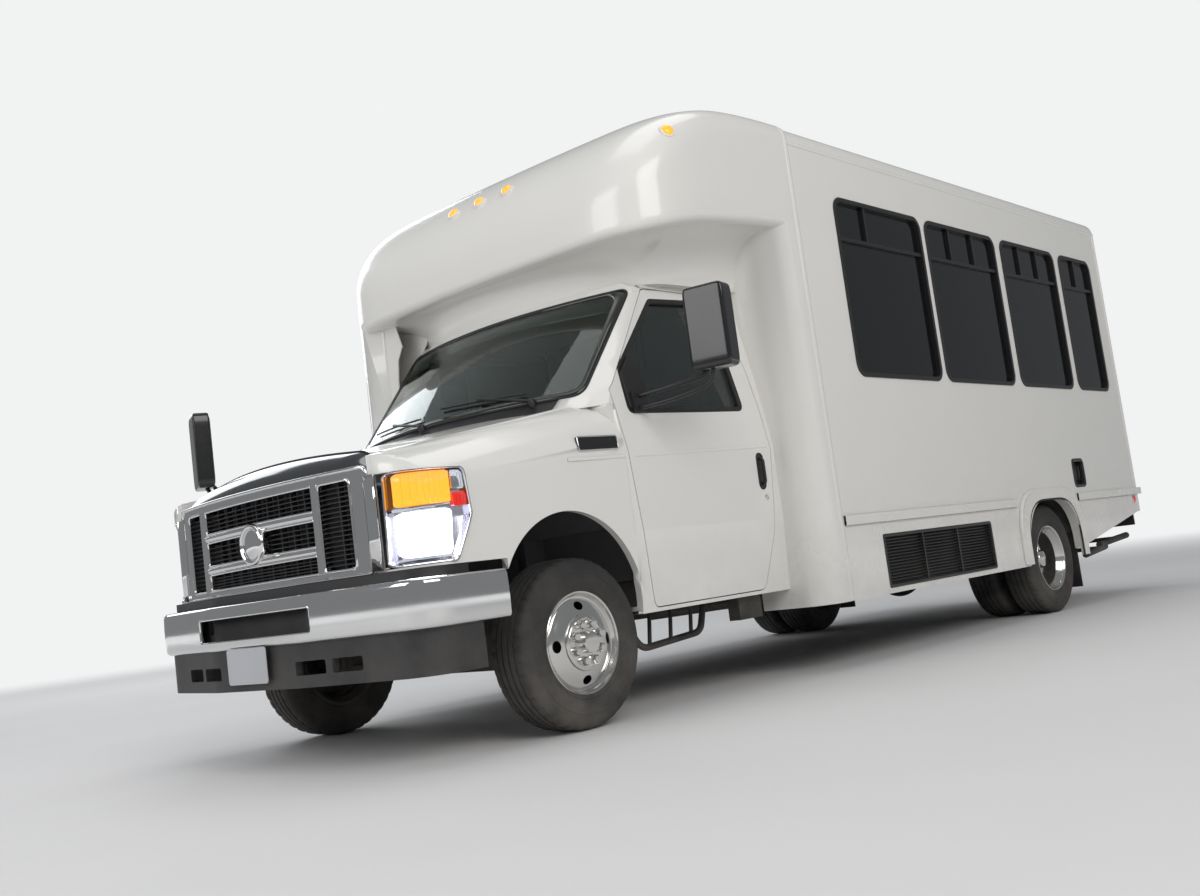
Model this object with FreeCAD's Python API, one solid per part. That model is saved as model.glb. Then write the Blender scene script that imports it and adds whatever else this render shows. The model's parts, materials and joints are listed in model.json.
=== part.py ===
import FreeCAD, Part
import math
import os
from FreeCAD import Vector

# Cutaway shuttle minibus, millimetres.
# Frame: +X towards the nose, +Y to the driver's side, +Z up.
# The origin is on the floor, in the middle of the bus's length and width.
os.makedirs("parts", exist_ok=True)

# Length and track
wheelbase = 4470.0
front_overhang = 1000.0
rear_overhang = 1850.0
front_track = 1763.0
dual_outer_y = 1078.0
dual_spacing = 262.0
front_x = (wheelbase + rear_overhang - front_overhang) / 2
rear_x = front_x - wheelbase
nose_x = front_x + front_overhang
tail_x = rear_x - rear_overhang

# Clearances
shut_gap = 5.0
running_gap = 0.3
barrel_radius = 8.0
barrel_length = 60.0
bore_gap = 0.05

# Tyres and wheels
tyre_radius = 368.0
tyre_width = 222.0
bead_radius = 205.0
flange_radius = 220.0
rim_half_width = 92.0
rim_wall = 7.0
stud_circle = 165.1
stud_count = 8
lug_radius = 15.0
hub_radius = 61.0
spindle_radius = 28.0
hand_hole_count = 4
hand_hole_circle = 300.0

# Steering
kingpin_inset = 142.0
kingpin_radius = 17.0
knuckle_half_height = 70.0

# Box body
body_width = 2438.0
half_width = body_width / 2
wall = 40.0
seam_x = front_x - 1800.0
body_length = 4380.0
body_rear_x = seam_x - body_length
skirt_z = 342.0
tail_skirt_z = 603.0
flare_rear_z = 420.0
side_top_z = 2831.0
roof_top_z = 2962.0
cove_radius = 112.0
floor_top_z = 805.0

# Side windows, each row: start behind the seam, width, vent bar places as shares of the width
windows = [
    (400.0, 1008.0, [0.34]),
    (1463.0, 998.0, [0.34, 0.67]),
    (2550.0, 919.0, [0.34, 0.67]),
    (3558.0, 611.0, [0.5]),
]
window_sill_z = 1550.0
window_top_z = 2589.0
window_corner = 80.0
window_frame = 26.0
frame_proud = 6.0
vent_height = 230.0
vent_bar = 22.0
glass = 6.0

# Rear wheel openings and flares
flare_half = 514.0
flare_top_z = 832.0
flare_band = 88.0
flare_proud = 26.0
arch_radius = 300.0

# Rub rail, fittings in the side wall
rail_low_z = 736.0
rail_high_z = 787.0
rail_proud = 14.0
condenser_start = 400.0
condenser_length = 1340.0
condenser_low_z = 370.0
condenser_high_z = 667.0
filler_start = 3180.0
filler_width = 210.0
filler_low_z = 830.0
filler_high_z = 1036.0

# Front cap over the cab
# cap stations from the middle of the nose round to the seam: wall back and y, roof edge back and y,
# shoulder height, lip height, cove foot back and y
cap_stations = [
    (510.0, 0.0, 1250.0, 0.0, 2350.0, 2222.0, 668.0, 0.0),
    (512.0, 300.0, 1252.0, 280.0, 2350.0, 2222.0, 690.0, 290.0),
    (519.0, 620.0, 1262.0, 560.0, 2352.0, 2222.0, 745.0, 560.0),
    (534.0, 900.0, 1290.0, 800.0, 2375.0, 2222.0, 812.0, 725.0),
    (580.0, 1060.0, 1340.0, 930.0, 2420.0, 2226.0, 868.0, 810.0),
    (675.0, 1160.0, 1400.0, 1010.0, 2480.0, 2238.0, 935.0, 866.0),
    (810.0, 1207.0, 1460.0, 1060.0, 2560.0, 2262.0, 1030.0, 893.0),
    (1000.0, 1219.0, 1530.0, 1090.0, 2660.0, 2291.0, 1150.0, 902.0),
    (1260.0, 1219.0, 1620.0, 1104.0, 2760.0, 2318.0, 1330.0, 905.0),
    (1530.0, 1219.0, 1720.0, 1107.0, 2825.0, 2342.0, 1540.0, 905.0),
    (1800.0, 1219.0, 1800.0, 1107.0, 2850.0, 2351.0, 1800.0, 905.0),
]
cap_roof_ledge = 150.0
cap_foot_ledge = 130.0
lip_radius = 52.0
cove_foot_z = 2056.0
wall_panel_top_z = 2410.0
marker_lamps_at = [
    # back, y, z, and the way that the lamp faces
    (646.0, -215.0, 2705.0, (0.72, 0.0, 0.69)),
    (644.0, 0.0, 2705.0, (0.72, 0.0, 0.69)),
    (646.0, 215.0, 2705.0, (0.72, 0.0, 0.69)),
    (827.0, 1173.0, 2732.0, (0.35, 0.85, 0.40)),
    (827.0, -1173.0, 2732.0, (0.35, -0.85, 0.40)),
]
wing_back = 1590.0
wing_radius = 170.0
entry_panel_back = 650.0
entry_panel_radius = 90.0

# Entry doorway on the kerb side
entry_front_back = 790.0
entry_width = 760.0
entry_low_z = 400.0
entry_high_z = 2130.0
leaf = 34.0
leaf_frame = 70.0
entry_hinges = (560.0, 1260.0, 1960.0)

# Cab
cab_half = 1005.0
cab_skin = 34.0
# mirrors: depth, width and height of each head, and its turn towards the driver
mirror_left_size = (110.0, 230.0, 390.0)
mirror_left_turn = 16.0
mirror_right_size = (86.0, 220.0, 410.0)
mirror_right_turn = -23.5
mirror_taper = 24.0
mirror_rear_round = 20.0
mirror_front_round = 40.0
mirror_end_round = 16.0
mirror_arm_radius = 11.0
tiny = 0.01
cab_back = wing_back
cab_sill_z = 445.0
belt_z = 1190.0
cab_roof_z = 2092.0
pillar_half = 850.0
cowl_corner_back = 355.0
cowl_centre_back = 130.0
cowl_z = 1485.0
header_corner_back = 800.0
header_centre_back = 640.0
header_z = 2035.0
pillar_foot_z = 1412.0
door_thick = 54.0
# the door's edge steps in behind its skin, so that it swings clear of the opening
door_lip = 20.0
door_rebate = 14.0
door_foot_half = 930.0
door_foot_top = 520.0
door_head_half = 790.0
door_head_low = 1960.0
# x behind the front axle, z, corner radius
door_window_points = [
    (500, 1378, 30), (1400, 1398, 40), (1385, 1640, 300), (1285, 1985, 40), (885, 1965, 50), (505, 1590, 60)]
door_points = [
    (500, 467, 30), (1372, 467, 50), (1500, 760, 250), (1558, 1180, 300), (1528, 1640, 300), (1340, 2050, 60),
    (852, 2024, 60), (400, 1470, 60), (462, 830, 200)]
door_window_frame = 16.0
hood_half = 715.0
hood_rear_back = 105.0
hood_skin = 26.0
front_arch_radius = 432.0
front_arch_z = 502.0

# Grille, lamps and bumper, x as distance ahead of the front axle
grille_centre = 930.0
grille_side = 848.0
grille_half = 726.0
grille_low_z = 760.0
grille_high_z = 1184.0
header_chrome_z = 1290.0
grille_frame = 36.0
side_bar_y = 440.0
side_bar_width = 40.0
side_slot_half = 628.0
cross_bar = 44.0
cross_bar_z = (885.0, 1030.0)
boss_radius = 74.0
boss_z = 962.0
slats_per_field = 4
slat = 6.0
fender_front = 500.0
bumper_low_z = 522.0
bumper_high_z = 722.0
bumper_half = 1032.0
bumper_end = 440.0
bumper_wall = 34.0
slot_half = 430.0
slot_low_z = 563.0
slot_high_z = 668.0
valance_low_z = 345.0
plate_length = 305.0
plate_height = 152.0
plate_hole_spacing = 177.8
plate_hole_radius = 3.5
plate_thick = 3.0
header_depth = 125.0

# Chassis: the rails are low under the cab and step up behind it
rail_y = 400.0
rail_width = 70.0
rail_height = 150.0
rail_top_z = 740.0
cab_rail_top_z = 590.0
kick_back = 1700.0
kick_run = 260.0

# Rear wall and emergency door
rear_door_half = 400.0
rear_door_low_z = 830.0
rear_door_high_z = 2360.0
rear_glass_low_z = 1560.0
rear_hinges = (1000.0, 1600.0, 2150.0)

# Stairwell
tread = 260.0
stair_depth = 490.0
stair_edge = -half_width + wall + stair_depth

# Seats
seat_rows = 5
seat_pitch = 760.0
seat_first = 620.0
seat_width = 870.0


def block(x0, x1, y0, y1, z0, z1):
    return Part.makeBox(x1 - x0, y1 - y0, z1 - z0, Vector(x0, y0, z0))


def corner_wire(points, place):
    # points: (u, v, corner radius); place turns u, v into a point in space
    edges = []
    count = len(points)
    joints = []
    for i, (u, w, r) in enumerate(points):
        here = Vector(u, w, 0)
        if r <= 0:
            joints.append((here, here, here))
            continue
        to_last = (Vector(*points[i - 1][:2], 0) - here).normalize()
        to_next = (Vector(*points[(i + 1) % count][:2], 0) - here).normalize()
        half = to_last.getAngle(to_next) / 2
        middle = (to_last + to_next).normalize()
        back = r / math.tan(half)
        crown = here + middle * (r / math.sin(half) - r)
        joints.append((here + to_last * back, crown, here + to_next * back))
    for i, (start, crown, end) in enumerate(joints):
        if (end - start).Length > 0.01:
            edges.append(Part.Arc(*[place(p.x, p.y) for p in (start, crown, end)]).toShape())
        following = joints[(i + 1) % count][0]
        if (following - end).Length > 0.01:
            edges.append(Part.LineSegment(place(end.x, end.y), place(following.x, following.y)).toShape())
    return Part.Wire(edges)


def side_plate(points, y0, y1):
    wire = corner_wire(points, lambda u, w: Vector(u, y0, w))
    return Part.Face(wire).extrude(Vector(0, y1 - y0, 0))


def front_plate(points, x0, x1):
    wire = corner_wire(points, lambda u, w: Vector(x0, u, w))
    return Part.Face(wire).extrude(Vector(x1 - x0, 0, 0))


def plan_plate(points, z0, z1):
    wire = corner_wire(points, lambda u, w: Vector(u, w, z0))
    return Part.Face(wire).extrude(Vector(0, 0, z1 - z0))


def rectangle(u0, u1, w0, w1, r):
    return [(u0, w0, r), (u1, w0, r), (u1, w1, r), (u0, w1, r)]


def flip(shape):
    return shape.mirror(Vector(0, 0, 0), Vector(0, 1, 0))


def both(shape):
    return [shape, flip(shape)]


def ahead(distance):
    return front_x + distance


def behind(distance):
    return front_x - distance


def tube(points, radius):
    # straight runs with round joints
    shapes = []
    for start, end in zip(points, points[1:]):
        run = end - start
        shapes.append(Part.makeCylinder(radius, run.Length, start, run))
    for joint in points[1:-1]:
        shapes.append(Part.makeSphere(radius + 0.6, joint))
    return shapes[0].multiFuse(shapes[1:]) if len(shapes) > 1 else shapes[0]


def save(name, *shapes):
    solids = []
    for shape in shapes:
        solids += shape.Solids
    body = solids[0] if len(solids) == 1 else Part.makeCompound(solids)
    body.exportStep("parts/" + name + ".step")
    print(name, len(solids), "solids", round(sum(s.Volume for s in solids) / 1e6, 1), "dm3",
          len(body.Faces), "faces")


def hinge_half(foot, way, share):
    # half a surface hinge: a barrel on the axis and a plate on the panel on one side; share 1 is the upper half
    start = foot + Vector(0, 0, share * (barrel_length / 2 + running_gap))
    barrel = Part.makeCylinder(barrel_radius, barrel_length / 2, start)
    inward = Vector(0, 1, 0) if abs(way.x) > 0.5 else Vector(1, 0, 0)
    near = start + inward * (barrel_radius - 4)
    far = start + inward * barrel_radius + way * 42 + Vector(0, 0, barrel_length / 2)
    plate = block(min(near.x, far.x), max(near.x, far.x), min(near.y, far.y), max(near.y, far.y), near.z,
                  far.z)
    return [barrel, plate]


# Wheels: half sections turned about the axle, u = radius, w = outward from the tyre's middle
def turned(section, centre, outward):
    wire = corner_wire(section, lambda u, w: Vector(centre.x + u, centre.y + outward * w, centre.z))
    return Part.Face(wire).revolve(centre, Vector(0, 1, 0), 360)


def tyre(centre):
    half = tyre_width / 2
    section = [
        (bead_radius, -rim_half_width + 6, 0),
        (bead_radius + 45, -half, 30),
        (tyre_radius - 30, -half + 6, 40),
        (tyre_radius, -half + 24, 12),
        (tyre_radius, half - 24, 12),
        (tyre_radius - 30, half - 6, 40),
        (bead_radius + 45, half, 30),
        (bead_radius, rim_half_width - 6, 0),
    ]
    return turned(section, centre, 1)


def wheel_disc(centre, outward, face, hub_length):
    # barrel, dish and hub in one turning; face is where the disc meets the hub
    rim = rim_half_width
    well = bead_radius - 22
    section = [
        (spindle_radius + bore_gap, face - 30, 0),
        (hub_radius + 40, face - 30, 10),
        (well - 34, face - 62, 20),
        (well - rim_wall, face - 62, 8),
        (well - rim_wall, -rim + 14, 0),
        (flange_radius - 6, -rim + 8, 0),
        (flange_radius, -rim, 0),
        (flange_radius, -rim - 6, 0),
        (bead_radius - 1, -rim, 4),
        (well, -rim + 26, 6),
        (well, rim - 26, 6),
        (bead_radius - 1, rim, 4),
        (flange_radius, rim + 4, 0),
        (flange_radius - 6, rim + 8, 0),
        (well - rim_wall, rim - 16, 10),
        (well - rim_wall, face - 30, 8),
        (well - 40, face - 34, 20),
        (hub_radius + 44, face, 10),
        (hub_radius, face, 4),
        (hub_radius - 6, face + hub_length, 8),
        (spindle_radius + bore_gap, face + hub_length, 0),
    ]
    return turned(section, centre, outward)


def wheel(centre, outward, face, hub_length):
    body = wheel_disc(centre, outward, face, hub_length)
    lugs = []
    holes = []
    for i in range(stud_count):
        turn = math.radians(360 * (i + 0.5) / stud_count)
        spot = centre + Vector(math.cos(turn), 0, math.sin(turn)) * (stud_circle / 2)
        start = spot + Vector(0, outward * (face - 4), 0)
        lugs.append(Part.makeCylinder(lug_radius, 32, start, Vector(0, outward, 0)))
    for i in range(hand_hole_count):
        turn = math.radians(360 * i / hand_hole_count)
        spot = centre + Vector(math.cos(turn), 0, math.sin(turn)) * (hand_hole_circle / 2)
        start = spot + Vector(0, outward * (face - 80), 0)
        holes.append(Part.makeCylinder(19, 100, start, Vector(0, outward, 0)))
    return body.multiFuse(lugs).cut(Part.makeCompound(holes)).removeSplitter()


def wheels():
    front_y = front_track / 2
    for side, name in ((1, "left"), (-1, "right")):
        centre = Vector(front_x, side * front_y, tyre_radius)
        save("tyre_front_" + name, tyre(centre))
        save("wheel_front_" + name, wheel(centre, side, 92, 52))
        outer = Vector(rear_x, side * dual_outer_y, tyre_radius)
        inner = outer - Vector(0, side * dual_spacing, 0)
        save("tyres_rear_" + name, tyre(outer), tyre(inner))
        twin = wheel(outer, side, -60, 96)
        inside = wheel_disc(inner, -side, -dual_spacing / 2 + 131, 4)
        hub = turned([(spindle_radius + bore_gap, -245, 0), (hub_radius, -245, 0), (hub_radius, -60, 0),
                      (spindle_radius + bore_gap, -60, 0)], outer, side)
        save("wheels_rear_" + name, twin.multiFuse([inside, hub]))


# Steering knuckles, axles, springs
def knuckles():
    pin_y = front_track / 2 - kingpin_inset
    hub_back = front_track / 2 + 62
    for side, name in ((1, "left"), (-1, "right")):
        foot = Vector(front_x, side * pin_y, tyre_radius - knuckle_half_height)
        post = Part.makeCylinder(34, 2 * knuckle_half_height, foot)
        bore = Part.makeCylinder(kingpin_radius + bore_gap, 2 * knuckle_half_height, foot)
        start = Vector(front_x, side * (pin_y + 20), tyre_radius)
        spindle = Part.makeCylinder(spindle_radius, hub_back - pin_y + 60, start, Vector(0, side, 0))
        flange = Part.makeCylinder(44, 70, start, Vector(0, side, 0))
        arm = block(front_x - 150, front_x, min(side * pin_y - 16, side * pin_y + 16),
                    max(side * pin_y - 16, side * pin_y + 16), tyre_radius - 56, tyre_radius - 30)
        save("knuckle_" + name, post.multiFuse([spindle, flange, arm]).cut(bore))


def front_axle():
    pin_y = front_track / 2 - kingpin_inset
    shapes = []
    for side in (1, -1):
        for level in (-1, 1):
            z = tyre_radius + level * (knuckle_half_height + running_gap)
            height = 26 * level
            y0, y1 = sorted((side * (pin_y - 60), side * (pin_y + 36)))
            ear = block(front_x - 36, front_x + 36, y0, y1, min(z, z + height), max(z, z + height))
            shapes.append(ear)
        low = tyre_radius - knuckle_half_height - 26 - running_gap
        high = tyre_radius + knuckle_half_height + 26 + running_gap
        shapes.append(Part.makeCylinder(kingpin_radius, high - low, Vector(front_x, side * pin_y, low)))
        inner_y = side * (pin_y - 72)
        shapes.append(block(front_x - 32, front_x + 32, min(inner_y - 26, inner_y + 26),
                            max(inner_y - 26, inner_y + 26), low, high))
    beam = block(front_x - 30, front_x + 30, -(pin_y - 40), pin_y - 40, tyre_radius - 92, tyre_radius - 22)
    shapes.append(beam)
    for side in (1, -1):
        shapes.append(Part.makeCylinder(46, cab_rail_top_z - rail_height - tyre_radius + 22,
                                        Vector(front_x, side * rail_y, tyre_radius - 22)))
    save("front_axle", shapes[0].multiFuse(shapes[1:]))


def rear_axle():
    end_y = dual_outer_y + 30
    tube_y = dual_outer_y - dual_spacing - 120
    shaft = Part.makeCylinder(spindle_radius, 2 * end_y, Vector(rear_x, -end_y, tyre_radius), Vector(0, 1, 0))
    housing = Part.makeCylinder(56, 2 * tube_y, Vector(rear_x, -tube_y, tyre_radius), Vector(0, 1, 0))
    bowl = Part.makeSphere(165, Vector(rear_x, 0, tyre_radius))
    carrier = Part.makeCylinder(80, 230, Vector(rear_x, 0, tyre_radius), Vector(1, 0, 0))
    shapes = [housing, bowl, carrier]
    # leaf springs: a stack of shorter and shorter arched leaves on each side
    for side in (1, -1):
        y = side * (rail_y + rail_width / 2 + 45)
        for step, reach in enumerate((700, 560, 420, 280)):
            top = tyre_radius + 92 - 13 * step
            rise = 100 * (reach / 700) ** 2
            over = Part.Arc(Vector(rear_x - reach, y - 35, top + rise), Vector(rear_x, y - 35, top),
                            Vector(rear_x + reach, y - 35, top + rise)).toShape()
            under = over.translated(Vector(0, 0, -13))
            ends = [Part.LineSegment(Vector(rear_x + s * reach, y - 35, top + rise - 13),
                                     Vector(rear_x + s * reach, y - 35, top + rise)).toShape() for s in (-1, 1)]
            wire = Part.Wire(Part.__sortEdges__([over, under] + ends))
            shapes.append(Part.Face(wire).extrude(Vector(0, 70, 0)))
        shapes.append(block(rear_x - 60, rear_x + 60, y - 45, y + 45, tyre_radius - 20, tyre_radius + 60))
        for reach in (-700, 700):
            shapes.append(block(rear_x + reach - 20, rear_x + reach + 20, y - 35, y + 35,
                                tyre_radius + 180, rail_top_z - 30))
    prop = Part.makeCylinder(45, wheelbase - 1500, Vector(rear_x + 200, 0, tyre_radius + 6),
                             Vector(wheelbase - 1500, 0, 40))
    save("rear_axle", shaft.multiFuse(shapes + [prop]))


def chassis():
    front_end = ahead(780)
    rear_end = body_rear_x + wall
    kick = behind(kick_back)
    step = rail_top_z - cab_rail_top_z
    outline = [(front_end, cab_rail_top_z, 0), (kick, cab_rail_top_z, 300),
               (kick - kick_run, rail_top_z, 300),
               (rear_end, rail_top_z, 0), (rear_end, rail_top_z - rail_height, 0),
               (kick - kick_run, rail_top_z - rail_height, 300), (kick, cab_rail_top_z - rail_height, 300),
               (front_end, cab_rail_top_z - rail_height, 0)]
    shapes = []
    for side in (1, -1):
        y0 = side * rail_y - rail_width / 2
        shapes.append(side_plate(outline, y0, y0 + rail_width))
    low = rail_top_z - rail_height
    for x, drop in ((front_end - 60, step), (ahead(-1350), step), (rear_x + 900, 0), (rear_x - 780, 0),
                    (rear_end, 0)):
        shapes.append(block(x, x + 60, -rail_y, rail_y, low - drop + 30, rail_top_z - drop - 25))
    save("frame_rails", shapes[0].multiFuse(shapes[1:]))

    engine = block(behind(320), ahead(430), -300, 300, 470, 1060)
    gearbox = block(behind(1250), behind(320), -190, 190, 430, 590)
    save("engine", engine.fuse(gearbox))

    tank_front = rear_x - 820
    tank = side_plate(rectangle(tank_front - 700, tank_front, low - 205, low - 4, 50), -330, 330)
    strap_y = rail_y - rail_width / 2
    straps = [block(tank_front - x - 40, tank_front - x, -strap_y, strap_y, low - 4,
                    low + 26) for x in (140, 520)]
    save("fuel_tank", tank.multiFuse(straps))

    pipe_y = 700
    pipe_z = 400
    run = [(ahead(-1300), 260), (ahead(-2300), pipe_y), (ahead(-3300), pipe_y)]
    pipe = tube([Vector(x, y, pipe_z) for x, y in run], 34)
    can = Part.makeCylinder(85, 620, Vector(ahead(-3500), pipe_y, pipe_z), Vector(1, 0, 0))
    hanger = block(ahead(-3240), ahead(-3200), rail_y + rail_width / 2, pipe_y + 20, pipe_z + 60, 640)
    save("exhaust", pipe.multiFuse([can, hanger]))


# Cab body: one cross-section behind the windshield line, a loft ahead of it
def cab_section(inset, x):
    # half outline points: y, z, corner radius
    top = cab_roof_z - inset
    side = [
        (cab_half - 22 - inset, cab_sill_z + inset, 0),
        (cab_half - inset, 820.0, 400),
        (cab_half - inset, belt_z, 160),
        (cab_half - 26 - inset, 1390.0, 120),
        (pillar_half + 8 - inset, header_z - 10, 60),
        (pillar_half - 70 - inset, top - 22, 0),
    ]
    left = [(y, z, r) for y, z, r in side]
    right = [(-y, z, r) for y, z, r in reversed(side)]
    return corner_wire(left + right, lambda u, w: Vector(x, u, w))


def glass_front(shift, z0, z1):
    # everything behind the windshield's curved face, moved back by shift
    wires = []
    for z in (z0, z1):
        share = (z - cowl_z) / (header_z - cowl_z)
        side_x = behind(cowl_corner_back + share * (header_corner_back - cowl_corner_back) + shift)
        mid_x = behind(cowl_centre_back + share * (header_centre_back - cowl_centre_back) + shift)
        reach = cab_half + 40
        bow = (mid_x - side_x) * (reach / pillar_half) ** 2
        corner_x = mid_x - bow
        rear = behind(cab_back)
        arc = Part.Arc(Vector(corner_x, reach, z), Vector(mid_x, 0, z), Vector(corner_x, -reach, z)).toShape()
        lines = [((corner_x, -reach), (rear, -reach)), ((rear, -reach), (rear, reach)),
                 ((rear, reach), (corner_x, reach))]
        edges = [Part.LineSegment(Vector(*a, z), Vector(*b, z)).toShape() for a, b in lines]
        wires.append(Part.Wire([arc] + edges))
    return Part.makeLoft(wires, True, True)


def nose_section(x, inset, width, belt, shoulder_y, shoulder_z, crown_z):
    low = cab_sill_z + inset
    half = width - inset
    y1, z1 = shoulder_y - inset * 0.4, shoulder_z - inset
    mid_y = (half + y1) / 2 + 36
    mid_z = (belt + z1) / 2 + 26
    points = [Vector(x, -half, low), Vector(x, -half, belt), Vector(x, -mid_y, mid_z), Vector(x, -y1, z1),
              Vector(x, 0, crown_z - inset), Vector(x, y1, z1), Vector(x, mid_y, mid_z), Vector(x, half, belt),
              Vector(x, half, low)]
    edges = [Part.LineSegment(points[0], points[1]).toShape(),
             Part.Arc(points[1], points[2], points[3]).toShape(),
             Part.Arc(points[3], points[4], points[5]).toShape(),
             Part.Arc(points[5], points[6], points[7]).toShape(),
             Part.LineSegment(points[7], points[8]).toShape(),
             Part.LineSegment(points[8], points[0]).toShape()]
    return Part.Wire(edges)


def nose_plan(inset, z0, z1):
    # plan outline of the nose: straight fenders, round corners, bowed front
    side = cab_half + 20 - inset
    corner_x = ahead(grille_side - 8) - inset
    corner_y = grille_half + 14 - inset * 0.4
    front = ahead(grille_centre - 10) - inset
    bend_x = ahead(fender_front)
    left = [Vector(bend_x, side, z0), Vector(ahead(775) - inset * 0.75, 925 - inset * 0.75, z0),
            Vector(corner_x, corner_y, z0)]
    right = [Vector(p.x, -p.y, z0) for p in left]
    back = behind(cab_back)
    edges = [Part.LineSegment(Vector(back, side, z0), left[0]).toShape(),
             Part.Arc(left[0], left[1], left[2]).toShape(),
             Part.Arc(left[2], Vector(front, 0, z0), right[2]).toShape(),
             Part.Arc(right[2], right[1], right[0]).toShape(),
             Part.LineSegment(right[0], Vector(back, -side, z0)).toShape(),
             Part.LineSegment(Vector(back, -side, z0), Vector(back, side, z0)).toShape()]
    return Part.Face(Part.Wire(edges)).extrude(Vector(0, 0, z1 - z0))


def cab_solid(inset):
    rear = behind(cab_back) - (inset > 0) * 50
    joint_x = behind(400)
    section = Part.Face(cab_section(inset, rear))
    house = section.extrude(Vector(ahead(100) - rear, 0, 0))
    upper = house.common(glass_front(inset, pillar_foot_z, 2200))
    lower = section.extrude(Vector(joint_x - rear, 0, 0)).common(block(rear, joint_x, -1200, 1200, 0, 1460))
    back = nose_section(joint_x - 2, inset, cab_half - 2, belt_z + 50, 800, 1452, 1492)
    front = nose_section(ahead(940), inset, cab_half - 14, 1060, 715, 1214, 1256)
    nose = Part.makeLoft([back, front], True, True).common(nose_plan(inset, 0, 1600))
    return upper.multiFuse([lower, nose])


def door_outline(grow, window=False):
    points = door_window_points if window else door_points
    wire = corner_wire([(behind(x), z, r) for x, z, r in points], lambda u, w: Vector(u, 700, w))
    if grow:
        wire = wire.makeOffset2D(grow, 0, False, False, False)
    return Part.Face(wire).extrude(Vector(0, 500, 0))


def bow(inset, z0, z1):
    # everything behind the bowed front face, moved back by inset
    reach = 800.0
    drop = (grille_centre - grille_side) * (reach / grille_half) ** 2
    edge = ahead(grille_centre - drop) - inset
    back = behind(cab_back)
    arc = Part.Arc(Vector(edge, reach, z0), Vector(ahead(grille_centre) - inset, 0, z0),
                   Vector(edge, -reach, z0)).toShape()
    lines = [((edge, -reach), (back, -reach)), ((back, -reach), (back, reach)),
             ((back, reach), (edge, reach))]
    edges = [Part.LineSegment(Vector(*a, z0), Vector(*b, z0)).toShape() for a, b in lines]
    return Part.Face(Part.Wire([arc] + edges)).extrude(Vector(0, 0, z1 - z0))


def hood_cutter(grow):
    rear = behind(hood_rear_back) - grow
    half = hood_half + grow
    plan = plan_plate([(rear, half, 40), (ahead(900), half - 55, 0), (ahead(900), -half + 55, 0),
                       (rear, -half, 40)],
                      1060, 1560)
    return plan.common(bow(header_depth + shut_gap - grow, 1060, 1560)).cut(glass_front(grow - 30, 1280, 1620))


def cowl_cutter():
    plan = plan_plate([(front_x, 690, 0), (front_x, -690, 0), (behind(420), -770, 0), (behind(420), 770, 0)],
                      1300, cowl_z + 22)
    return plan.cut(hood_cutter(shut_gap))


def headlamp_cutter(grow):
    inner = grille_half + 4
    face = front_plate([(inner - grow, 768 - grow, 0), (1100, 768 - grow, 0), (1100, 1140 + grow, 0),
                        (inner - grow, 1150 + grow, 0)], ahead(300), ahead(1000))
    profile = [(690 - grow, 700), (578 - grow, 950), (600 - grow, 1200), (1000, 1200), (1000, 700)]
    side = side_plate([(front_x + x, z, 0) for x, z in profile], 500, 1100)
    return face.common(side)


def windshield_cutter(grow):
    low_half = pillar_half - 30 + grow
    top_half = pillar_half - 62 + grow
    points = [(-low_half, cowl_z + 22 - grow, 60), (low_half, cowl_z + 22 - grow, 60),
              (top_half, header_z - 22 + grow, 70), (-top_half, header_z - 22 + grow, 70)]
    return front_plate(points, behind(1000), ahead(200))


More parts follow.
